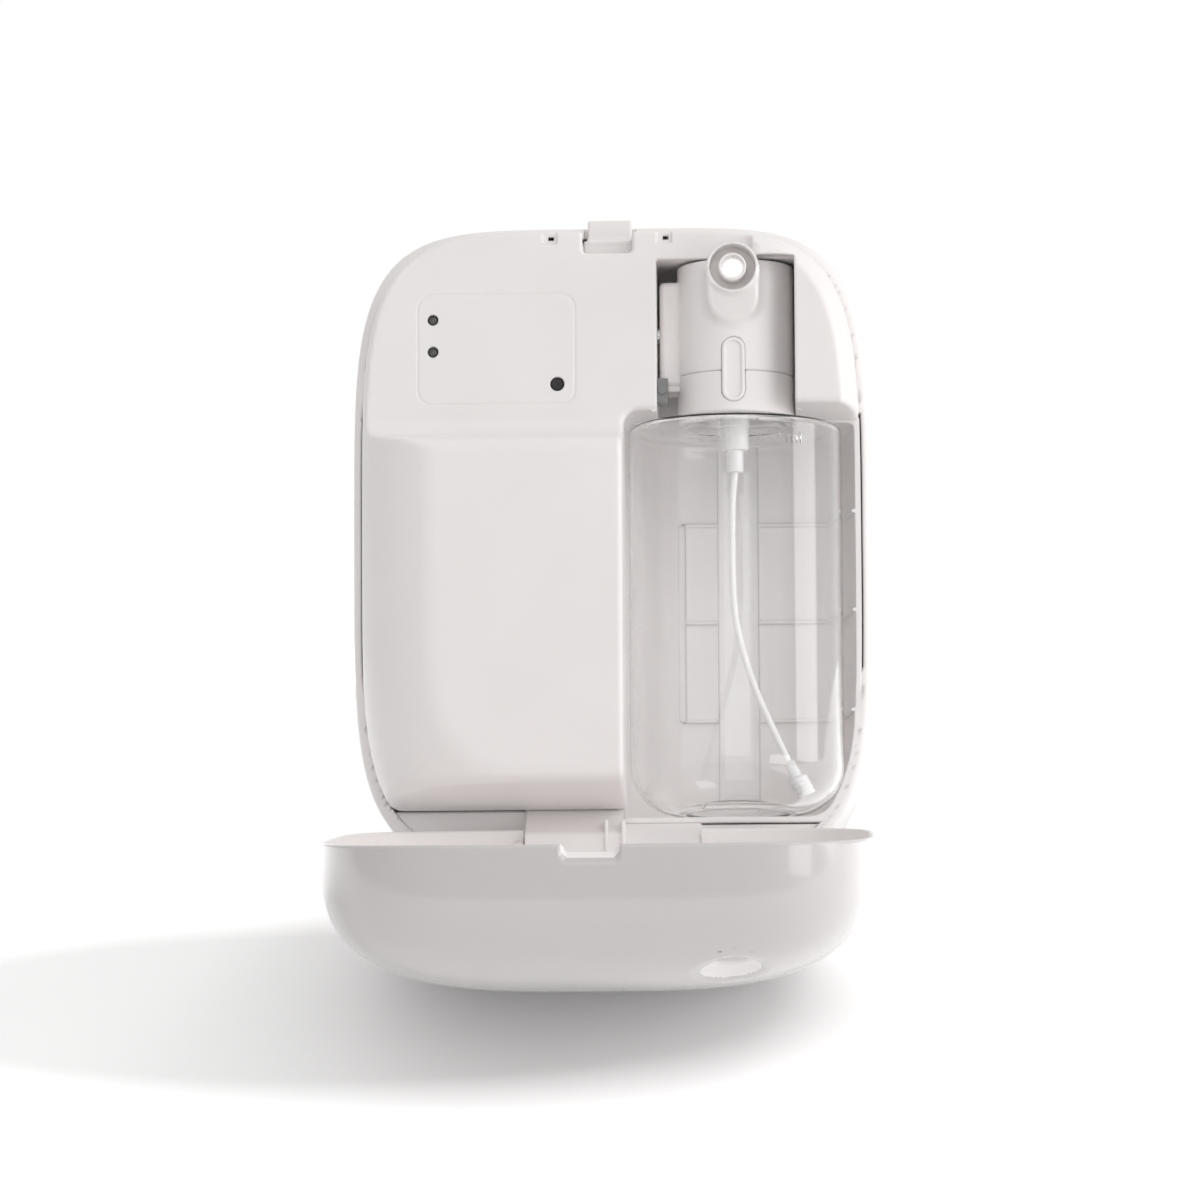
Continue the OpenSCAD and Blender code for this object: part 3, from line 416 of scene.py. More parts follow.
def moulded(name, base, roughness, grain_size=0.0, coat=0.0, soft=0.0, tone=0.012):
    """White or coloured moulded plastic, with faint flow marks and an optional fine texture."""
    mat, nodes, links, shader = new_material(name)
    varied(nodes, links, shader, base, tone, roughness, min(0.04, roughness / 3))
    shader.inputs["IOR"].default_value = 1.49
    shader.inputs["Coat Weight"].default_value = coat
    shader.inputs["Coat Roughness"].default_value = 0.06
    shader.inputs["Subsurface Weight"].default_value = soft
    shader.inputs["Subsurface Radius"].default_value = (0.0022, 0.0018, 0.0016)
    shader.inputs["Subsurface Scale"].default_value = 1.0
    if grain_size:
        grain(nodes, links, shader, grain_size, 0.12)
    return mat


def metal(name, base, roughness, brushed=600.0):
    """Steel or brass with a fine brushed streak."""
    mat, nodes, links, shader = new_material(name)
    shader.inputs["Metallic"].default_value = 1.0
    coords = nodes.new("ShaderNodeTexCoord")
    stretch = nodes.new("ShaderNodeMapping")
    stretch.inputs["Scale"].default_value = (0.12, 1, 1)
    links.new(coords.outputs["Object"], stretch.inputs["Vector"])
    streak = noise(nodes, links, brushed, 4.0, coords=stretch.outputs["Vector"])
    low = tuple(c * 0.86 for c in base)
    links.new(ramp(nodes, links, streak.outputs["Fac"], low, base).outputs["Color"],
              shader.inputs["Base Color"])
    gloss = nodes.new("ShaderNodeMapRange")
    gloss.inputs["To Min"].default_value = roughness * 0.7
    gloss.inputs["To Max"].default_value = roughness * 1.3
    links.new(streak.outputs["Fac"], gloss.inputs["Value"])
    links.new(gloss.outputs["Result"], shader.inputs["Roughness"])
    return mat


def clear(name, tint, roughness, ior):
    """Clear or frosted plastic that lets the light through to what is behind it."""
    mat, nodes, links, shader = new_material(name)
    varied(nodes, links, shader, tint, 0.004, roughness, roughness / 3)
    shader.inputs["Transmission Weight"].default_value = 1.0
    shader.inputs["IOR"].default_value = ior
    through = nodes.new("ShaderNodeBsdfTransparent")
    through.inputs["Color"].default_value = (*(0.5 + c / 2 for c in tint), 1)
    mix = nodes.new("ShaderNodeMixShader")
    rays = nodes.new("ShaderNodeLightPath")
    out = nodes["Material Output"]
    unseen = nodes.new("ShaderNodeMath")
    unseen.operation = "MAXIMUM"
    links.new(rays.outputs["Is Shadow Ray"], unseen.inputs[0])
    links.new(rays.outputs["Is Diffuse Ray"], unseen.inputs[1])
    links.new(unseen.outputs["Value"], mix.inputs["Fac"])
    links.new(shader.outputs["BSDF"], mix.inputs[1])
    links.new(through.outputs["BSDF"], mix.inputs[2])
    links.new(mix.outputs["Shader"], out.inputs["Surface"])
    return mat


def woven(name):
    """Fine steel gauze."""
    mat, nodes, links, shader = new_material(name)
    shader.inputs["Metallic"].default_value = 1.0
    shader.inputs["Roughness"].default_value = 0.35
    coords = nodes.new("ShaderNodeTexCoord").outputs["Object"]
    wires = []
    for direction in ("X", "Z"):
        wave = nodes.new("ShaderNodeTexWave")
        wave.bands_direction = direction
        wave.inputs["Scale"].default_value = 700
        links.new(coords, wave.inputs["Vector"])
        wires.append(wave.outputs["Fac"])
    top = nodes.new("ShaderNodeMath")
    top.operation = "MAXIMUM"
    links.new(wires[0], top.inputs[0])
    links.new(wires[1], top.inputs[1])
    tones = ramp(nodes, links, top.outputs["Value"], (0.62, 0.6, 0.59), (0.9, 0.88, 0.87), 0.4, 0.8)
    links.new(tones.outputs["Color"], shader.inputs["Base Color"])
    return mat


WHITE = (0.89, 0.86, 0.852)
MATERIALS = {
    "casing_white": moulded("casing_white", WHITE, 0.34, soft=0.1),
    # cover_white is the cover's white plastic painted darker: painted shade on the cover's outside, which hangs
    # open below the light
    "cover_white": moulded("cover_white", (0.58, 0.554, 0.55), 0.2, coat=0.5, soft=0.1),
    "panel_white": moulded("panel_white", (0.88, 0.849, 0.841), 0.42, grain_size=2600, soft=0.1),
    "bay_white": moulded("bay_white", (0.90, 0.868, 0.86), 0.4, soft=0.15),
    "pump_white": moulded("pump_white", (0.90, 0.869, 0.861), 0.36, soft=0.15),
    "inner_plastic": moulded("inner_plastic", (0.52, 0.52, 0.52), 0.45, grain_size=1500, tone=0.03),
    "black_plastic": moulded("black_plastic", (0.012, 0.012, 0.013), 0.4, tone=0.1),
    "grey_plastic": moulded("grey_plastic", (0.2, 0.2, 0.205), 0.3, tone=0.03),
    "dark_lens": moulded("dark_lens", (0.022, 0.021, 0.022), 0.12, coat=0.8, tone=0.1),
    "dark_rubber": moulded("dark_rubber", (0.016, 0.015, 0.016), 0.62, grain_size=3000, tone=0.1),
    "seal_rubber": moulded("seal_rubber", (0.18, 0.18, 0.18), 0.7, grain_size=3000, tone=0.05),
    "gear_plastic": moulded("gear_plastic", (0.72, 0.68, 0.58), 0.38, tone=0.03),
    "cell_jacket": moulded("cell_jacket", (0.05, 0.06, 0.075), 0.28, coat=0.5, tone=0.05),
    "board_green": moulded("board_green", (0.02, 0.12, 0.055), 0.35, grain_size=900, tone=0.08),
    "frosted_plastic": moulded("frosted_plastic", (0.83, 0.82, 0.82), 0.34, soft=0.4),
    "clear_plastic": clear("clear_plastic", (0.995, 0.995, 0.995), 0.015, 1.46),
    "contact_steel": metal("contact_steel", (0.6, 0.6, 0.58), 0.3),
    "motor_steel": metal("motor_steel", (0.5, 0.5, 0.51), 0.34),
    "pin_steel": metal("pin_steel", (0.58, 0.58, 0.59), 0.22),
    "screw_steel": metal("screw_steel", (0.5, 0.5, 0.5), 0.32),
    "mesh_steel": woven("mesh_steel"),
    "pinion_brass": metal("pinion_brass", (0.62, 0.46, 0.2), 0.28),
}
PARTS = {part["node"]: part["material_slot"] for part in frame["record"]["subparts"]}


def dress(obj, slot, body, *nodes):
    """Gives a new piece its material, its body and the CAD nodes that it stands for."""
    obj.data.materials.clear()
    obj.data.materials.append(MATERIALS[slot])
    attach(obj, body)
    if nodes:
        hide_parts(*nodes)
    return obj


for node, obj in frame["nodes"].items():
    for place in obj.material_slots:
        place.material = MATERIALS[PARTS[node]]


# ---------------------------------------------------------------- casing
def housing(x, d, z):
    outline = ring_width(x, z) - HALF_W
    band = without(both(outline, d - RIM_D, 2.3), outline + SHELL_T, 0.3)
    band = both(band, 0.6 - d, 0.5)
    plate = both(outline + SHELL_T / 2, span(d, BACK_D, BACK_D + SHELL_T), 0.3)
    low_left = both(x, z - (SEAM_Z - 0.4))
    below_bay = z - BAY_UNDER
    apron = both(both(outline + SHELL_T / 2, either(low_left, below_bay)), span(d, RIM_D - 3.2, RIM_D - 1.2))
    form = either(either(band, plate, 0.8), apron, 0.4)
    for px, pz in POSTS:
        form = either(form, rod(x, z, d, (px, pz), 4.0, BACK_D, 19.9, 0.3))
    # Lip that closes the gap round the panel, except beside the hand grips
    lip = both(span(outline, -PANEL_IN - 0.4, -SHELL_T + 1), span(d, RIM_D - 2.5, RIM_D - 0.15))
    grip = both(np.abs(z - GRIP_Z) - GRIP_HALF, 20 - np.abs(x), 1.0)
    form = either(form, without(lip, grip), 0.0)
    # Hinge block: a face that slopes out from the seam to a rounded barrel, with two thin ribs
    top = np.where(x < RIBS[1], SEAM_Z - 0.4, BAY_UNDER)
    slope = leaning(d, z, (RIM_D, 0), (0.75, 1)) - top * leaning(0, 1, (0, 0), (0.75, 1))
    block = both(slope, leaning(d, z, (HINGE_D + 3.4, -95.6), (2, 0.5)), 0.8)
    block = both(block, both(d - (HINGE_D + 3.4), HINGE_Z - 3.4 - z, 3.4), 0.5)
    block = both(block, RIM_D - 3 - d)
    for rib_x in RIBS:
        rib = brick(x, d, z, (rib_x - 0.6, rib_x + 0.6), (RIM_D, HINGE_D + 4.6), (-102.5, -91.8), 0.3)
        block = either(block, rib, 0.4)
    relief = both(np.hypot(d - HINGE_D, z - HINGE_Z) - (RIM_D / 5 - 1.2), HINGE_HALF - np.abs(x))
    form = without(form, relief, 0.4)
    form = either(form, both(block, np.abs(x) - HINGE_HALF, 0.6), 0.8)
    form = without(form, rod(d, z, np.abs(x), (HINGE_D, HINGE_Z), 1.55, HINGE_HALF - 9, 99))
    # Battery opening, hook slots, latch notch and screw holes
    door = brick(x, d, z, (DOOR_LOW[0] - 0.4, DOOR_HIGH[0] + 0.4), (DOOR_LOW[1] + 1.2, DOOR_HIGH[1] - 1.2),
                 (-120, -90))
    form = without(form, door, 0.3)
    for hx, hz in HOOKS:
        form = without(form, brick(x, d, z, (hx - 6.4, hx + 6.4), (-9, BACK_D + SHELL_T + 1), (hz - 5.4, hz)),
                       0.3)
    form = without(form, brick(x, d, z, (-POCKET_X, POCKET_X), (RIM_D - 1.6, 99), (HALF_H - 3.6, 999)), 0.4)
    for px, pz in POSTS:
        form = without(form, rod(x, z, d, (px, pz), 3.0, -9, BACK_D + SHELL_T + 2))
    return form


# ---------------------------------------------------------------- front panel
def panel_mass(x, d, z, w=0.0):
    """The panel's solid form, with every wall set in by w."""
    outer = dome(x, d, z, PANEL_IN) + w
    bulge = both(d - BULGE_D, leaning(d, z, (BULGE_D - 10, BULGE_TOP), (0.25, 1)), 4.5)
    face = either(d - FLAT_D, bulge, 5.5)
    column = both(d - COLUMN_D, CHAMBER_X[1] - 3 - x)
    above = both(both(d - COLUMN_D, 47 - x, 3), CHAMBER_TOP - 4 - z)
    face = either(face, either(column, above), 2.5)
    under = leaning(d, z, (BULGE_D, BULGE_LOW - 0.4), (6, -38))
    form = both(outer, face + w, 0.9)
    return both(form, under + w, 2.6)


def bay_opening(x, d, z):
    return both(WALL_X - x, leaning(d, z, (COLUMN_D, 43), (-0.09, 1)), 5.0)


def panel(x, d, z):
    mass = without(panel_mass(x, d, z), bay_opening(x, d, z), 1.9)
    hollow = both(both(panel_mass(x, d, z, PANEL_T), -bay_opening(x, d, z) + PANEL_T), 20 - d)
    form = both(without(mass, hollow), RIM_D - d)
    # Chamber and latch pocket, then what stands behind the panel
    inner = (CHAMBER_X[0] - PANEL_T, CHAMBER_X[1] + PANEL_T)
    form = either(form, brick(x, d, z, inner, (CHAMBER_BACK - PANEL_T, FLAT_D - 1),
                              (BAY_TOP + 1.5, CHAMBER_TOP + 2)))
    form = either(form, brick(x, d, z, (-10.5, 10.5), (RIM_D - 3, FLAT_D - 1), (POCKET_Z - 7, HALF_H - 6.5)))
    # Recess round the nozzle above the chamber
    wall = brick(x, d, z, (RECESS_X[0] - 4, RECESS_X[1] + 3), (RECESS_BACK - PANEL_T, FLAT_D),
                 (CHAMBER_TOP - 1, RECESS_TOP + 3))
    form = either(form, both(wall, mass))
    recess = brick(x, d, z, RECESS_X, (RECESS_BACK, 99), (CHAMBER_TOP - 9, RECESS_TOP), 4.0)
    form = without(form, both(recess, z - CHAMBER_TOP + 40), 4.2)
    chamber = both(both(span(x, *CHAMBER_X), CHAMBER_BACK - d), z - CHAMBER_TOP, 0.8)
    form = without(form, chamber, 0.7)
    pocket = brick(x, d, z, (-POCKET_X, POCKET_X - 0.8), (RIM_D - 1.6, 199), (POCKET_Z, 199), 1.6)
    form = without(form, pocket, 1.3)
    slot = brick(x, d, z, (-POCKET_X - 0.9, POCKET_X + 0.5), (RIM_D - 1.6, RIM_D + 6.4),
                 (POCKET_Z - 4.4, HALF_H - 4.6), 0.3)
    form = without(form, slot)
    behind = brick(x, d, z, (-POCKET_X + 0.4, POCKET_X - 0.8), (LATCH_LOW[1] - 1.1, RIM_D),
                   (POCKET_Z + 1.5, 199), 0.3)
    form = without(form, behind)
    for side in (-1, 1):
        px = side * SNAP_X
        form = without(form, brick(x, d, z, (px - 2.9, px + 1.9), (FLAT_D - 1, 99), (SNAP_Z - 1.9, 199), 0.5),
                       0.4)
        form = without(form, brick(x, d, z, (px - 0.9, px + 0.9), (FLAT_D - 5, 99),
                                   (SNAP_Z - 0.6, SNAP_Z + 0.6)), 0.1)
    for place in LIGHTS:
        form = without(form, np.hypot(x - place[0], z - place[1]) - 1.75, 0.25)
    form = without(form, np.hypot(x - BUTTON[0], z - BUTTON[1]) - 2.3, 0.3)
    # Shallow groove round the field of the button and lights
    half_x, half_z = (LABEL_X[1] - LABEL_X[0]) / 2 - LABEL_R, (LABEL_Z[1] - LABEL_Z[0]) / 2 - LABEL_R
    away = np.hypot(np.maximum(np.abs(x - sum(LABEL_X) / 2) - half_x, 0),
                    np.maximum(np.abs(z - sum(LABEL_Z) / 2) - half_z, 0)) - LABEL_R
    groove = 0.22 * np.exp(-(away / 0.38) ** 2) * (d > FLAT_D - 1)
    return form + groove


# ---------------------------------------------------------------- bay
def bay_void(x, d, z, w=0.0):
    """The space of the bottle bay, grown by w."""
    q = np.hypot(np.maximum(20.6 - x, 0) / 18, np.maximum(RIM_D - d, 0) / (RIM_D - BAY_BACK))
    left = (q - 1) * np.where(x < 20.6, 22, RIM_D - BAY_BACK)
    right = leaning(x, d, (81, RIM_D), (1, -0.19))
    plan = both(left, right, 4.0) - w
    return both(plan, span(z, BAY_FLOOR - w, BAY_TOP + w), 2.0)


def bay(x, d, z):
    case = prism(x, z, SHELL_T + 0.4)
    form = both(both(bay_void(x, d, z, 2.0), case), d - RIM_D, 0.3)
    void = both(bay_void(x, d, z), case + 1.4, 3.0)
    for height in (10.7, -22, -55):
        rib = both(both(span(z, height - 0.6, height + 0.6), -(void + 1.6)), 21.5 - x)
        void = without(void, rib, 0.25)
    void = either(void, brick(x, d, z, (AXIS_X - 6.6, AXIS_X + 7), (BAY_BACK - 0.8, 30), (-86, 37)), 0.0)
    void = either(void, brick(x, d, z, (20.4, 22.8), (BAY_BACK - 0.9, 30), (-55, 10.7)), 0.0)
    form = without(form, void, 0.3)
    way = brick(x, d, z, CHAMBER_X, (CHAMBER_BACK, 99), (BAY_TOP - 1, 99))
    return without(form, way)


# ---------------------------------------------------------------- cover
def cover(x, d, z):
    outer = dome(x, d, z, 0.0)
    bore = np.hypot(x - AXIS_X, z - NOZZLE_Z)
    form = both(outer, RIM_D - d, 0.9)
    form = without(form, dome(x, d, z, COVER_T), 0.9)
    for side in (-1, 1):
        ear = both(np.hypot(d - HINGE_D, z - HINGE_Z) - 4.6, RIM_D + 1 - d, 0.6)
        foot = both(span(d, HINGE_D - 3, HINGE_D + 6), span(z, -HALF_H + 0.4, -HALF_H + 5.8))
        lug = both(either(ear, foot), span(x * side, HINGE_HALF + 0.3, HINGE_HALF + 3.6), 0.4)
        form = either(form, lug, 0.4)
    rib = brick(x, d, z, (-5, 5), (RIM_D + 6.8, RIM_D + 8.4), (HALF_H - 4.4, HALF_H - 1))
    form = either(form, both(rib, outer))
    gap = brick(x, d, z, (-HINGE_HALF - 0.3, HINGE_HALF + 0.3), (0, HINGE_D + 4.4), (-200, HINGE_Z + 5))
    form = without(form, gap, 0.3)
    # Notch with flared edges for the latch's tab
    floor = leaning(d, z, (RIM_D + 5.6, HALF_H), (2.2, -3.8))
    notch = both(both(leaning(np.abs(x), z, (9.2, HALF_H), (1, -0.5)), floor, 1.6), HALF_H - 8 - z)
    form = without(form, notch, 0.35)
    # Dished outlet for the foam
    dish = np.sqrt((x - DISH[0]) ** 2 + (d - DISH[1]) ** 2 + (z - DISH[2]) ** 2) - DISH_R
    form = either(form, both(dish - COVER_T, outer), 0.0)
    form = without(form, dish, 1.6)
    form = without(form, both(bore - 5.2, RIM_D + 10 - d), 1.2)
    # Room inside for the ring round the nozzle, short of the outer face
    return without(form, both(both(bore - 9.4, d - NOZZLE_TIP - 0.7), outer + 1.2), 0.3)


# ---------------------------------------------------------------- pump
def key_slot(x, d, z):
    """The oblong slot that the release key sits in."""
    across = (KEY_LOW[0] - KEY_GAP, KEY_HIGH[0] + KEY_GAP)
    upright = (KEY_LOW[2] - KEY_GAP, KEY_HIGH[2] + KEY_GAP)
    return both(stadium(x, z, across, upright), AXIS_D + 6 - d)


def pump_head(x, d, z):
    barrel = np.hypot(x - HEAD_X, d - AXIS_D) - HEAD_R
    form = both(barrel, span(z, HEAD_LOW[2], HEAD_TOP), 0.9)
    # Skirt under the nozzle that runs into the barrel
    skirt = np.hypot(x - AXIS_X, z - np.maximum(z, NOZZLE_Z - 9)) - BOSS_R
    skirt = both(skirt, leaning(d, z, (NOZZLE_TIP - 3, NOZZLE_Z - 8), (1, -0.55)), 1.5)
    skirt = both(both(skirt, z - NOZZLE_Z), AXIS_D - d)
    form = either(form, skirt, 2.5)
    boss = rod(x, z, d, (AXIS_X, NOZZLE_Z), BOSS_R, AXIS_D + 8, NOZZLE_TIP - 0.5, 0.5)
    boss = both(boss, np.minimum(z - HEAD_TOP, FLAT_D + 0.6 - d))
    form = either(form, boss, 1.2)
    lug = brick(x, d, z, (LUG_X, AXIS_X - HEAD_R + 4), (AXIS_D - 9.2, AXIS_D + 5.8),
                (HEAD_LOW[2] - 3.2, HEAD_TOP - 5.2), 1.8)
    form = either(form, lug, 0.8)
    tab = brick(x, d, z, (LUG_X + 1.8, AXIS_X - HEAD_R + 3), (AXIS_D - 6, AXIS_D + 5.8),
                (HEAD_LOW[2] - 4.9, HEAD_LOW[2] - 3), 0.4)
    form = either(form, tab, 0.3)
    form = either(form, brick(x, d, z, (AXIS_X - 8, AXIS_X + 8), (CHAMBER_BACK, AXIS_D - 10), (60, 82), 0.8))
    inside = both(np.hypot(x - HEAD_X, d - AXIS_D) - (HEAD_R - 2), z - (HEAD_TOP - 2))
    form = without(form, inside)
    form = without(form, rod(x, z, d, (AXIS_X, NOZZLE_Z), BOSS_R - 1.0, 76, 99), 0.4)
    form = without(form, rod(d, z, x, (AXIS_D, 69), 3.9, 0, AXIS_X))
    return without(form, key_slot(x, d, z), 0.15)


def collar(x, d, z):
    barrel = np.hypot(x - AXIS_X, d - AXIS_D)
    form = both(np.hypot(x - HEAD_X, d - AXIS_D) - HEAD_R, span(z, COLLAR_LOW[2], COLLAR_HIGH[2]), 0.35)
    form = without(form, both(barrel - 14.9, z - 51))
    form = without(form, barrel - 7.8)
    return without(form, key_slot(x, d, z), 0.15)


def release_key(x, d, z):
    slot = stadium(x, z, (KEY_LOW[0], KEY_HIGH[0]), (KEY_LOW[2], KEY_HIGH[2]))
    form = both(slot, span(d, KEY_LOW[1], KEY_HIGH[1]), 0.7)
    return without(form, both(slot + 1.3, KEY_HIGH[1] - 0.8 - d, 0.3), 0.5)


def latch(x, d, z):
    """A thin tab over a thicker slide that fills the pocket, with its outer corners rounded."""
    low, high = LATCH_LOW[0] + 0.6, LATCH_HIGH[0] - 0.6
    tab = brick(x, d, z, (low, high), (LATCH_LOW[1], LATCH_LOW[1] + 2.8), (HALF_H - 7, LATCH_HIGH[2]), 0.9)
    slide = brick(x, d, z, (low, high), (LATCH_LOW[1], RIM_D + 5.4), (HALF_H - 7, HALF_H - 5), 0.9)
    skirt = brick(x, d, z, (-POCKET_X - 0.1, POCKET_X - 0.5), (RIM_D + 3.6, RIM_D + 5.4),
                  (POCKET_Z - 0.8, HALF_H - 5.4), 0.5)
    return either(either(tab, slide, 2.4), skirt, 0.5)


# ---------------------------------------------------------------- moulded pieces
FINE = 0.5
BROAD = 1.1
rim_fine = (RIM_D - 3.5, RIM_D + 1.5, FINE)
width = ticks(-HALF_W - 1, HALF_W + 1, BROAD, [(-33, -27, FINE), (-9.5, 9.5, FINE), (27, 33, FINE)])
height = ticks(-HALF_H - 1.5, HALF_H + 1.5, BROAD, [(-HALF_H - 1.5, -91, FINE), (100, 108, FINE)])
dress(shell("rear_casing", housing, width, ticks(0, HINGE_D + 5.2, BROAD,
                                                 [(0, 6.2, FINE), rim_fine, (59, 66, FINE)]),
            height), "casing_white", "casing", "rear_housing")

label = 0.32
width = ticks(-HALF_W, HALF_W, BROAD, [(LABEL_X[0] - 1.5, LABEL_X[0] + 8, label),
                                       (LABEL_X[1] - 9, LABEL_X[1] + 1.5, label),
                                       (-0.5, 7.5, FINE), (13.5, 27, FINE), (44, 50, FINE), (60, 63.5, FINE),
                                       (-20, 20, 0.6)])
height = ticks(-90, 104, BROAD, [(-88, -78, 0.6), (26, 41, 0.7), (LABEL_Z[0] - 1.5, LABEL_Z[0] + 10, label),
                                 (60, 75, 0.4), (LABEL_Z[1] - 5, LABEL_Z[1] + 1.5, label), (90, 104, FINE)])
depth = ticks(CHAMBER_BACK - 3, BULGE_D + 1, BROAD, [(RIM_D - 0.6, RIM_D + 1, FINE),
                                                     (FLAT_D - 2, FLAT_D + 1, FINE),
                                                     (BULGE_D - 5, BULGE_D + 1, FINE)])
dress(shell("inner_panel", panel, width, depth, height), "panel_white", "casing", "front_panel")

width = ticks(-1, HALF_W, 0.9, [(20, 23.5, 0.4), (33, 35, 0.4), (47, 49, 0.4)])
height = ticks(BAY_FLOOR - 3, BAY_TOP + 3, 0.9, [(h - 1.4, h + 1.4, 0.35) for h in (-55, -22, 10.7)])
dress(shell("bottle_recess", bay, width, ticks(BAY_BACK - 3, RIM_D + 1, 0.8), height), "bay_white", "casing",
      "bottle_bay")

width = ticks(-HALF_W - 1, HALF_W + 1, BROAD, [(-33, -27, FINE), (-10, 10, FINE), (27, 33, FINE),
                                               (28, 53, 0.7)])
height = ticks(-HALF_H - 1, HALF_H + 1, BROAD, [(-HALF_H - 1, -94, FINE), (74, 107, 0.7)])
depth = ticks(RIM_D - 0.7, RIM_D + COVER_DEPTH + 1, BROAD, [(RIM_D - 0.7, RIM_D + 2, 0.4),
                                                            (RIM_D + 2, RIM_D + 14, 0.6)])
lid = dress(shell("domed_cover", cover, width, depth, height, OPEN), "cover_white", "cover", "front_cover")


def closed_place(obj):
    """The points of a piece of the opened cover in millimetres, turned back to where they are when it is shut."""
    points = np.empty(len(obj.data.vertices) * 3, np.float32)
    obj.data.vertices.foreach_get("co", points)
    points = points.reshape(-1, 3) / TO_ROW
    c, s = math.cos(OPEN), math.sin(OPEN)
    back = (points[:, 1:] - (HINGE_D, HINGE_Z)) @ np.array([[c, -s], [s, c]]).T
    return points[:, 0], back[:, 0] + HINGE_D, back[:, 1] + HINGE_Z


# The cover's outside takes the darker, glossier cover_white, which paints shade on it; its inside takes the
# panel's white
inside = dome(*closed_place(lid), 0.0) < -0.7
lid.data.materials.append(MATERIALS["panel_white"])
for face in lid.data.polygons:
    face.material_index = int(all(inside[v] for v in face.vertices))

width = ticks(15, HEAD_X + HEAD_R + 1, 0.6, [(AXIS_X - 10, AXIS_X + 10, 0.4)])
depth = ticks(CHAMBER_BACK - 1, NOZZLE_TIP + 1, 0.6)
dress(shell("pump_top", pump_head, width, depth, ticks(HEAD_LOW[2] - 6, 97, 0.6)), "pump_white", "casing",
      "pump_head")
width = ticks(HEAD_X - HEAD_R - 1, HEAD_X + HEAD_R + 1, 0.6)
depth = ticks(AXIS_D - HEAD_R - 1, AXIS_D + HEAD_R + 1, 0.6)
dress(shell("pump_neck_ring", collar, width, depth, ticks(COLLAR_LOW[2] - 1, COLLAR_HIGH[2] + 1, 0.5)),
      "pump_white", "casing", "pump_collar")
grid = [ticks(KEY_LOW[k] - 0.6, KEY_HIGH[k] + 0.6, 0.3) for k in range(3)]
dress(shell("release_slider", release_key, *grid), "pump_white", "release", "release_key")
grid = [ticks(LATCH_LOW[k] - 0.8, LATCH_HIGH[k] + 0.8, 0.35) for k in range(3)]
dress(shell("latch_tab", latch, *grid), "casing_white", "latch", "latch_button")


# ---------------------------------------------------------------- bottle and what is in it
def bottle_profile(w):
    """Half section of the bottle from the middle of its base to its neck, set in by w."""
    base, bend, top = BOTTLE_LOW[2], -73.5, 38.6
    ring = 19.25
    low = [(0.0, base + 2.2 + w), (6.0, base + 2.1 + w), (9.5, base + 1.7 + w), (10.2, base + 1.2 + w),
           (14.0, base + 0.9 + w), (15.2, base + 0.4 + w)]
    low += arc((17.6, base + 1.6), 1.6 - w * 0.6, 235, 275, 5) if not w else [(16.8, base + w),
                                                                              (18.5, base + w)]
    side = [(ring + (BOTTLE_R - ring) * math.sin(a) - w,
             bend - (bend - base) * math.cos(a) + w * (1 - a / (math.pi / 2)))
            for a in np.linspace(0.06, math.pi / 2, 18)]
    shoulder = arc((BOTTLE_R - 3, top - 3.4), 3 - w, 0, 80, 9)
    neck = [(24, top - 0.2 - w), (18.2, top + 0.3 - w), (15.6, top + 0.9 - w), (14.5 - w, top + 2.4 - w)]
    return low + side + shoulder + neck + [(14.5 - w, BOTTLE_HIGH[2])]


def bottle():
    outer, inner = bottle_profile(0), bottle_profile(1.2)
    profile = outer + inner[::-1]
    obj = lathe("clear_bottle", profile, "z", 128, (AXIS_X, AXIS_D))
    return dress(obj, "clear_plastic", "casing", "bottle")


def raised_text(name, body, size, x, z, depth=0.28):
    """Raised figures that follow the front of the bottle."""
    curve = bpy.data.curves.new(name, "FONT")
    curve.body = body
    curve.size = size * MM
    curve.extrude = depth * MM
    curve.resolution_u = 4
    curve.align_x, curve.align_y = "LEFT", "CENTER"
    text = bpy.data.objects.new(name, curve)
    bpy.context.scene.collection.objects.link(text)
    mesh = bpy.data.meshes.new_from_object(text.evaluated_get(bpy.context.evaluated_depsgraph_get()))
    bpy.data.objects.remove(text)
    obj = add(name, mesh)
    for v in mesh.vertices:
        along, up, out = (c / MM for c in v.co)
        px = x + along
        r = BOTTLE_R + 0.02 + max(out, 0)
        a = math.asin((px - AXIS_X) / BOTTLE_R)
        v.co = Vector(((AXIS_X + r * math.sin(a)) * MM, -(AXIS_D + r * math.cos(a)) * MM, (z + up) * MM))
    return dress(obj, "clear_plastic", "casing")


bottle()
for name, words, x, z in (("mark_400", "MAX    400 ml", 29.5, 30.2), ("mark_300", "300", 39.2, 0.3),
                          ("mark_200", "200", 39.2, -27.1), ("mark_100", "100", 39.2, -54.3)):
    raised_text(name, words, 5.6, x, z)
for name, z in (("tick_200", -27.1), ("tick_100", -54.3), ("tick_400", 30.2)):
    raised_text(name, "_", 5.6, 34.6, z + 2.4)


def sweep(name, points, radius, sides=16):
    """A round tube along (x, depth, z) points in millimetres."""
    p = np.array(points, float)
    way = np.gradient(p, axis=0)
    way /= np.linalg.norm(way, axis=1)[:, None]
    side = np.array([0, 1, 0.0])
    rings = []
    for q, t in zip(p, way):
        u = np.cross(t, side)
        u /= np.linalg.norm(u)
        v = np.cross(t, u)
        rings.append([q + radius * (math.cos(a) * u + math.sin(a) * v)
                      for a in np.linspace(0, 2 * math.pi, sides, endpoint=False)])
    n = len(p)
    faces = [(k * sides + i, k * sides + (i + 1) % sides, (k + 1) * sides + (i + 1) % sides,
              (k + 1) * sides + i)
             for k in range(n - 1) for i in range(sides)]
    faces += [tuple(range(sides))[::-1], tuple((n - 1) * sides + i for i in range(sides))]
    return crease(mesh_of(name, np.array(rings).reshape(-1, 3), faces), 60)


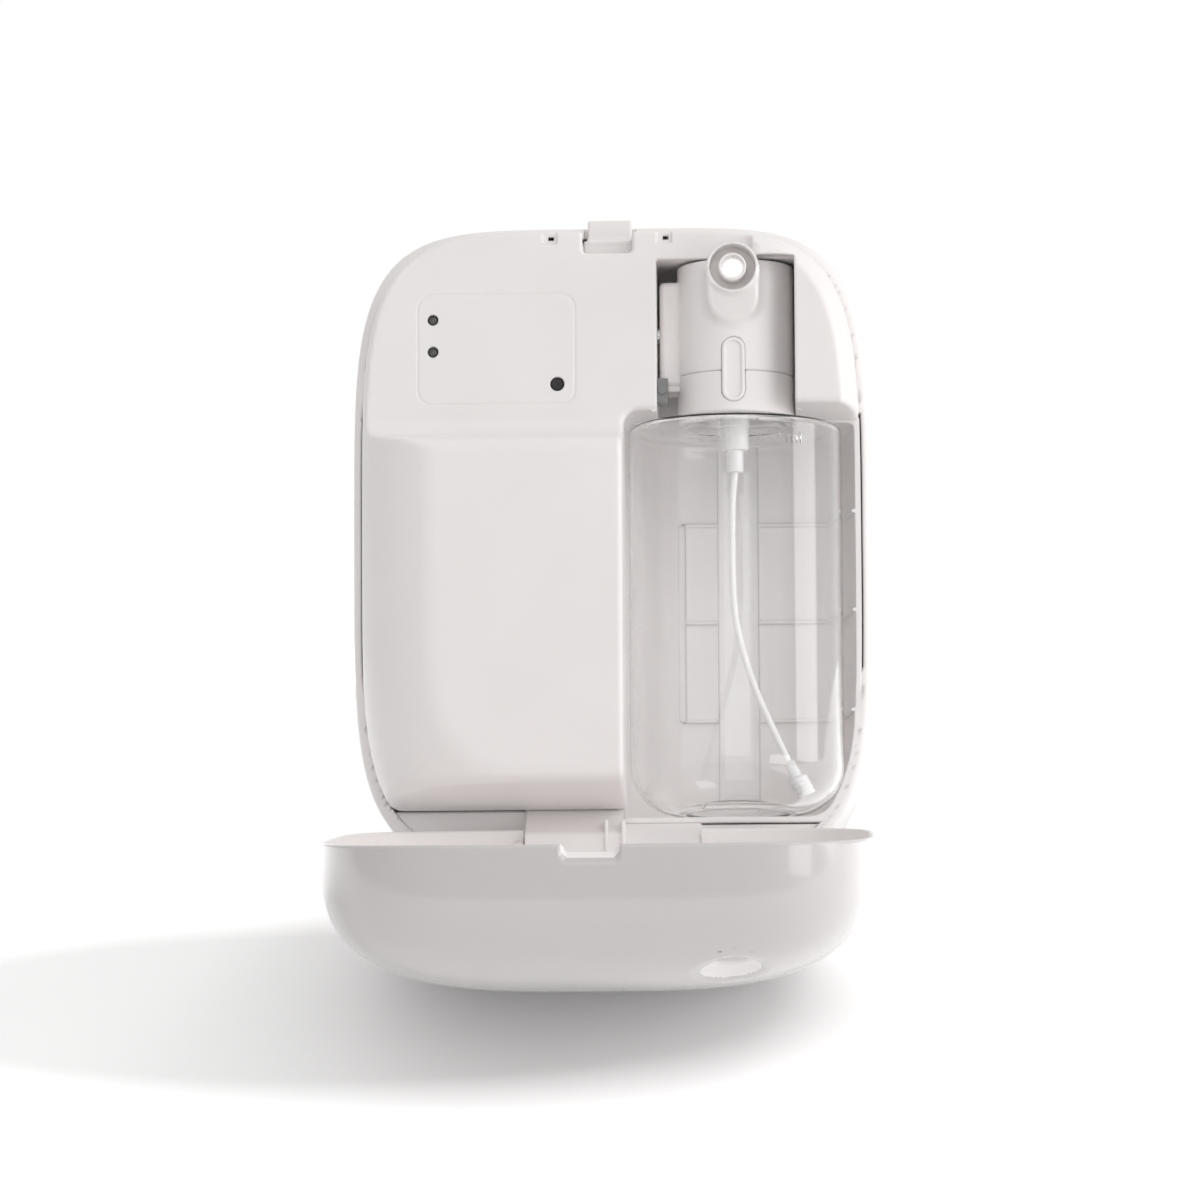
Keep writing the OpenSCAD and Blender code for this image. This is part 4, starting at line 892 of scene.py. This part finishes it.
def smooth_route(points, steps):
    """A Catmull-Rom curve through given points."""
    p = [points[0]] + list(points) + [points[-1]]
    out = []
    for a, b, c, e in zip(p, p[1:], p[2:], p[3:]):
        a, b, c, e = map(np.array, (a, b, c, e))
        for t in np.linspace(0, 1, steps, endpoint=False):
            out.append(0.5 * (2 * b + (c - a) * t + (2 * a - 5 * b + 4 * c - e) * t * t + (3 * b - a - 3 * c + e) * t ** 3))
    return out + [np.array(points[-1], float)]


DIP = [(0, 23.2), (-0.9, 14), (-1.2, -4), (-0.7, -20), (1, -31.5), (5.5, -47), (11.4, -61), (16.6, -72.2),
       (19.8, -78.4)]
route = smooth_route([(AXIS_X + a, AXIS_D, b) for a, b in DIP], 10)
dress(sweep("suction_tube", route, 1.1), "frosted_plastic", "casing", "dip_tube")
stem = [(1.1, 54.3), (1.1, 23.2), (2.3, 23.2), (2.75, 23.8), (2.75, 30.2), (4.2, 30.5), (4.55, 31.2),
        (4.55, 38), (4.9, 38.4),
        (4.9, 54.3)]
dress(crease(lathe("intake_socket", stem, "z", 48, (AXIS_X, AXIS_D)), 40), "frosted_plastic", "casing",
      "intake_fitting")


def strainer():
    """The weighted strainer on the tube's end, with a sleeve and slots round its body."""
    end, before = np.array(DIP[-1], float), np.array(DIP[-2], float)
    way = (end - before) / np.linalg.norm(end - before)
    tilt = math.atan2(way[0], way[1])
    profile = [(1.25, 0), (1.25, -6.5), (1.55, -6.5), (1.75, -6.2), (1.9, -0.9), (2.3, -0.5), (2.8, -0.3),
               (3.15, 0.3)]
    for low in (1.2, 2.9, 4.6):
        profile += [(3.15, low), (2.95, low + 0.1), (2.95, low + 0.5), (3.15, low + 0.6)]
    profile += [(3.15, 5.8), (2.8, 6.25), (0, 6.3), (0, 0)]
    obj = crease(lathe("strainer", profile, "z", 40), 35)
    place = Matrix.Translation(Vector(((AXIS_X + end[0]) * MM, -AXIS_D * MM, end[1] * MM)))
    obj.data.transform(place @ Matrix.Rotation(tilt, 4, "Y"))
    return dress(obj, "frosted_plastic", "casing", "filter_weight")


strainer()

# ---------------------------------------------------------------- nozzle, lights and button
mouth = [(NOZZLE_R, AXIS_D + 7), (NOZZLE_R, NOZZLE_TIP - 0.4), (NOZZLE_R - 0.35, NOZZLE_TIP),
         (NOZZLE_R - 0.6, NOZZLE_TIP),
         (NOZZLE_R - 0.85, NOZZLE_TIP - 0.4), (NOZZLE_R - 0.85, AXIS_D + 7)]
dress(crease(lathe("nozzle_inner_ring", mouth, "d", 64, (AXIS_X, NOZZLE_Z)), 30), "pump_white", "casing",
      "nozzle_tube")
for index, (x, z) in enumerate(LIGHTS):
    lens = [(0, 61.6), (2.1, 61.6), (2.1, 62.8), (1.55, 62.8), (1.55, 69.0), (1.3, 69.4), (0.7, 69.65),
            (0, 69.7)]
    piece = crease(lathe(f"light_lens_{index + 1}", lens, "d", 40, (x, z)), 40)
    dress(piece, "dark_lens", "casing", *(["status_lights"] if index == 0 else []))
low, high = box_mm("mode_button")
key = [(0, low[1]), (3.2, low[1]), (3.2, 67.7), (2.1, 67.7), (2.1, high[1] - 0.4), (1.8, high[1] - 0.05),
       (1.2, high[1]),
       (0.7, high[1] - 0.25), (0, high[1] - 0.35)]
dress(crease(lathe("button_cap", key, "d", 48, BUTTON), 40), "dark_rubber", "mode_key", "mode_button")

# ---------------------------------------------------------------- floor, light and camera
UP = Vector((0, -0.4327, 0.9015))
places = np.empty(len(lid.data.vertices) * 3, np.float32)
lid.data.vertices.foreach_get("co", places)
FLOOR_AT = Vector((0, -0.148, -0.1775))
FLOOR_AT += UP * (float((places.reshape(-1, 3) @ np.array(UP)).min()) - FLOOR_AT.dot(UP))


def brightest(nodes, links, sockets):
    """The largest of several values."""
    pick = sockets[0]
    for socket in sockets[1:]:
        most = nodes.new("ShaderNodeMath")
        most.operation = "MAXIMUM"
        links.new(pick, most.inputs[0])
        links.new(socket, most.inputs[1])
        pick = most.outputs["Value"]
    return pick


def floor():
    """A white floor under the opened cover, plain white away from the object; inside an ellipse beside it the
    added glow drops, a painted shadow over the real one that also greys the floor where no shadow falls.
    """
    mat = bpy.data.materials.new("floor")
    mat.use_nodes = True
    nodes, links = mat.node_tree.nodes, mat.node_tree.links
    shader = nodes["Principled BSDF"]
    tones = ramp(nodes, links, noise(nodes, links, 3.0).outputs["Fac"], (0.94, 0.94, 0.94),
                 (0.95, 0.95, 0.95))
    links.new(tones.outputs["Color"], shader.inputs["Base Color"])
    shader.inputs["Roughness"].default_value = 0.7
    shader.inputs["Specular IOR Level"].default_value = 0.2
    coords = nodes.new("ShaderNodeTexCoord")
    place = nodes.new("ShaderNodeMapping")
    place.vector_type = "TEXTURE"
    place.inputs["Location"].default_value = FLOOR_AT + PAINTED_SHADOW_AT
    place.inputs["Scale"].default_value = PAINTED_SHADOW_SIZE
    links.new(coords.outputs["Object"], place.inputs["Vector"])
    # Painted shadow: the glow the camera sees dims inside the ellipse, baring the real shadow and greying the
    # floor where none falls
    painted_shadow_fade = nodes.new("ShaderNodeTexGradient")
    painted_shadow_fade.gradient_type = "QUADRATIC_SPHERE"
    links.new(place.outputs["Vector"], painted_shadow_fade.inputs["Vector"])
    glow = nodes.new("ShaderNodeMapRange")
    glow.inputs["From Max"].default_value = 0.45
    glow.inputs["To Min"].default_value = 1.0
    glow.inputs["To Max"].default_value = PAINTED_SHADOW_GLOW
    links.new(painted_shadow_fade.outputs["Fac"], glow.inputs["Value"])
    rays = nodes.new("ShaderNodeLightPath")
    kinds = [rays.outputs[k] for k in ("Is Camera Ray", "Is Glossy Ray", "Is Transmission Ray")]
    seen = nodes.new("ShaderNodeMath")
    seen.operation = "MULTIPLY"
    links.new(brightest(nodes, links, kinds), seen.inputs[0])
    links.new(glow.outputs["Result"], seen.inputs[1])
    white = nodes.new("ShaderNodeEmission")
    links.new(seen.outputs["Value"], white.inputs["Strength"])
    shown = nodes.new("ShaderNodeAddShader")
    links.new(shader.outputs["BSDF"], shown.inputs[0])
    links.new(white.outputs["Emission"], shown.inputs[1])
    # Seen from beneath, the floor doesn't hide the object
    below = nodes.new("ShaderNodeNewGeometry")
    open_side = nodes.new("ShaderNodeBsdfTransparent")
    sided = nodes.new("ShaderNodeMixShader")
    links.new(below.outputs["Backfacing"], sided.inputs["Fac"])
    links.new(shown.outputs["Shader"], sided.inputs[1])
    links.new(open_side.outputs["BSDF"], sided.inputs[2])
    links.new(sided.outputs["Shader"], nodes["Material Output"].inputs["Surface"])
    along = Vector((0, -UP.z, UP.y))
    across = Vector((1, 0, 0))
    # The floor stops where the object's back would sink into it
    corners = [(-1.6, -0.4), (-GAP_HALF, -0.4), (-GAP_HALF, GAP_FROM), (GAP_HALF, GAP_FROM), (GAP_HALF, -0.4),
               (1.6, -0.4), (1.6, 1.3), (-1.6, 1.3)]
    points = [FLOOR_AT + across * a + along * b for a, b in corners]
    mesh = bpy.data.meshes.new("floor")
    mesh.from_pydata([tuple(p) for p in points], [], [tuple(range(8))[::-1]])
    obj = add("floor", mesh)
    obj.data.materials.append(mat)
    return obj


def studio():
    """A white room: what the camera and gloss see is white, and the light itself comes mostly from above."""
    world = bpy.data.worlds.new("studio")
    bpy.context.scene.world = world
    world.use_nodes = True
    nodes, links = world.node_tree.nodes, world.node_tree.links
    nodes.clear()
    rays = nodes.new("ShaderNodeLightPath")
    seen = nodes.new("ShaderNodeBackground")
    lit = nodes.new("ShaderNodeBackground")
    seen.inputs["Color"].default_value = (1, 1, 1, 1)
    seen.inputs["Strength"].default_value = 1.0
    lit.inputs["Color"].default_value = (1, 0.995, 0.99, 1)
    coords = nodes.new("ShaderNodeTexCoord")
    lean = nodes.new("ShaderNodeVectorMath")
    lean.operation = "DOT_PRODUCT"
    lean.inputs[1].default_value = SKY_LEAN
    links.new(coords.outputs["Generated"], lean.inputs[0])
    level = nodes.new("ShaderNodeMath")
    level.operation = "ADD"
    level.use_clamp = False
    level.inputs[1].default_value = AMBIENT
    links.new(lean.outputs["Value"], level.inputs[0])
    links.new(level.outputs["Value"], lit.inputs["Strength"])
    mix = nodes.new("ShaderNodeMixShader")
    kinds = [rays.outputs[k] for k in ("Is Camera Ray", "Is Glossy Ray", "Is Transmission Ray")]
    links.new(brightest(nodes, links, kinds), mix.inputs["Fac"])
    links.new(lit.outputs["Background"], mix.inputs[1])
    links.new(seen.outputs["Background"], mix.inputs[2])
    out = nodes.new("ShaderNodeOutputWorld")
    links.new(mix.outputs["Shader"], out.inputs["Surface"])


def lamp(name, place, target, size, power, tint=(1, 1, 1)):
    light = bpy.data.lights.new(name, "AREA")
    light.shape = "RECTANGLE"
    light.size, light.size_y = size
    light.energy = power
    light.color = tint
    obj = bpy.data.objects.new(name, light)
    obj.location = place
    obj.rotation_mode = "QUATERNION"
    obj.rotation_quaternion = (Vector(target) - Vector(place)).to_track_quat("-Z", "Y")
    bpy.context.scene.collection.objects.link(obj)
    return obj


def camera():
    """A long lens far in front and below, looking up at the object a little from the right."""
    rise, turn, roll = math.radians(7.476), math.radians(1.96), math.radians(-0.313)
    ahead = -Vector((math.sin(turn) * math.cos(rise), -math.cos(turn) * math.cos(rise), -math.sin(rise)))
    right = ahead.cross(Vector((0, 0, 1))).normalized()
    up = right.cross(ahead)
    x = right * math.cos(roll) + up * math.sin(roll)
    y = up * math.cos(roll) - right * math.sin(roll)
    data = bpy.data.cameras.new("camera")
    data.sensor_width = 36
    data.lens = 213.365
    data.clip_start, data.clip_end = 0.1, 20
    obj = bpy.data.objects.new("camera", data)
    turned = Matrix((x, y, -ahead)).transposed().to_4x4()
    obj.matrix_world = Matrix.Translation(Vector((0.07525, -2.3671, -0.3221))) @ turned
    bpy.context.scene.collection.objects.link(obj)
    bpy.context.scene.camera = obj


# The room's light grows along SKY_LEAN, so it comes mostly from above and a little from the right. The floor
# glows by 1 beyond the ellipse set below and only by the low level set below inside it: a painted shadow that
# bares the real shadow under the cover and greys the floor to its left.
AMBIENT = 0.5
SKY_LEAN = (0.14, -0.14, 0.36)
PAINTED_SHADOW_GLOW = 0.13
GAP_HALF = 0.1
GAP_FROM = -0.158
PAINTED_SHADOW_AT = Vector((-0.085, 0.036, 0.017))
PAINTED_SHADOW_SIZE = (0.42, 0.19, 0.19)
floor()
studio()
lamp("key", (1.3, -1.5, 1.2), (0, -0.05, -0.05), (0.8, 0.8), 4)
lamp("low", (1.5, -1.4, -0.25), (0, -0.08, -0.02), (0.8, 0.6), 3.5)
lamp("front", (0.0, -2.2, 0.35), (0, -0.08, -0.02), (1.2, 0.8), 2.5)
lamp("right", (1.9, -0.3, 0.3), (0, -0.08, -0.02), (1.0, 1.0), 8)
camera()
bpy.context.scene.view_settings.view_transform = "Standard"
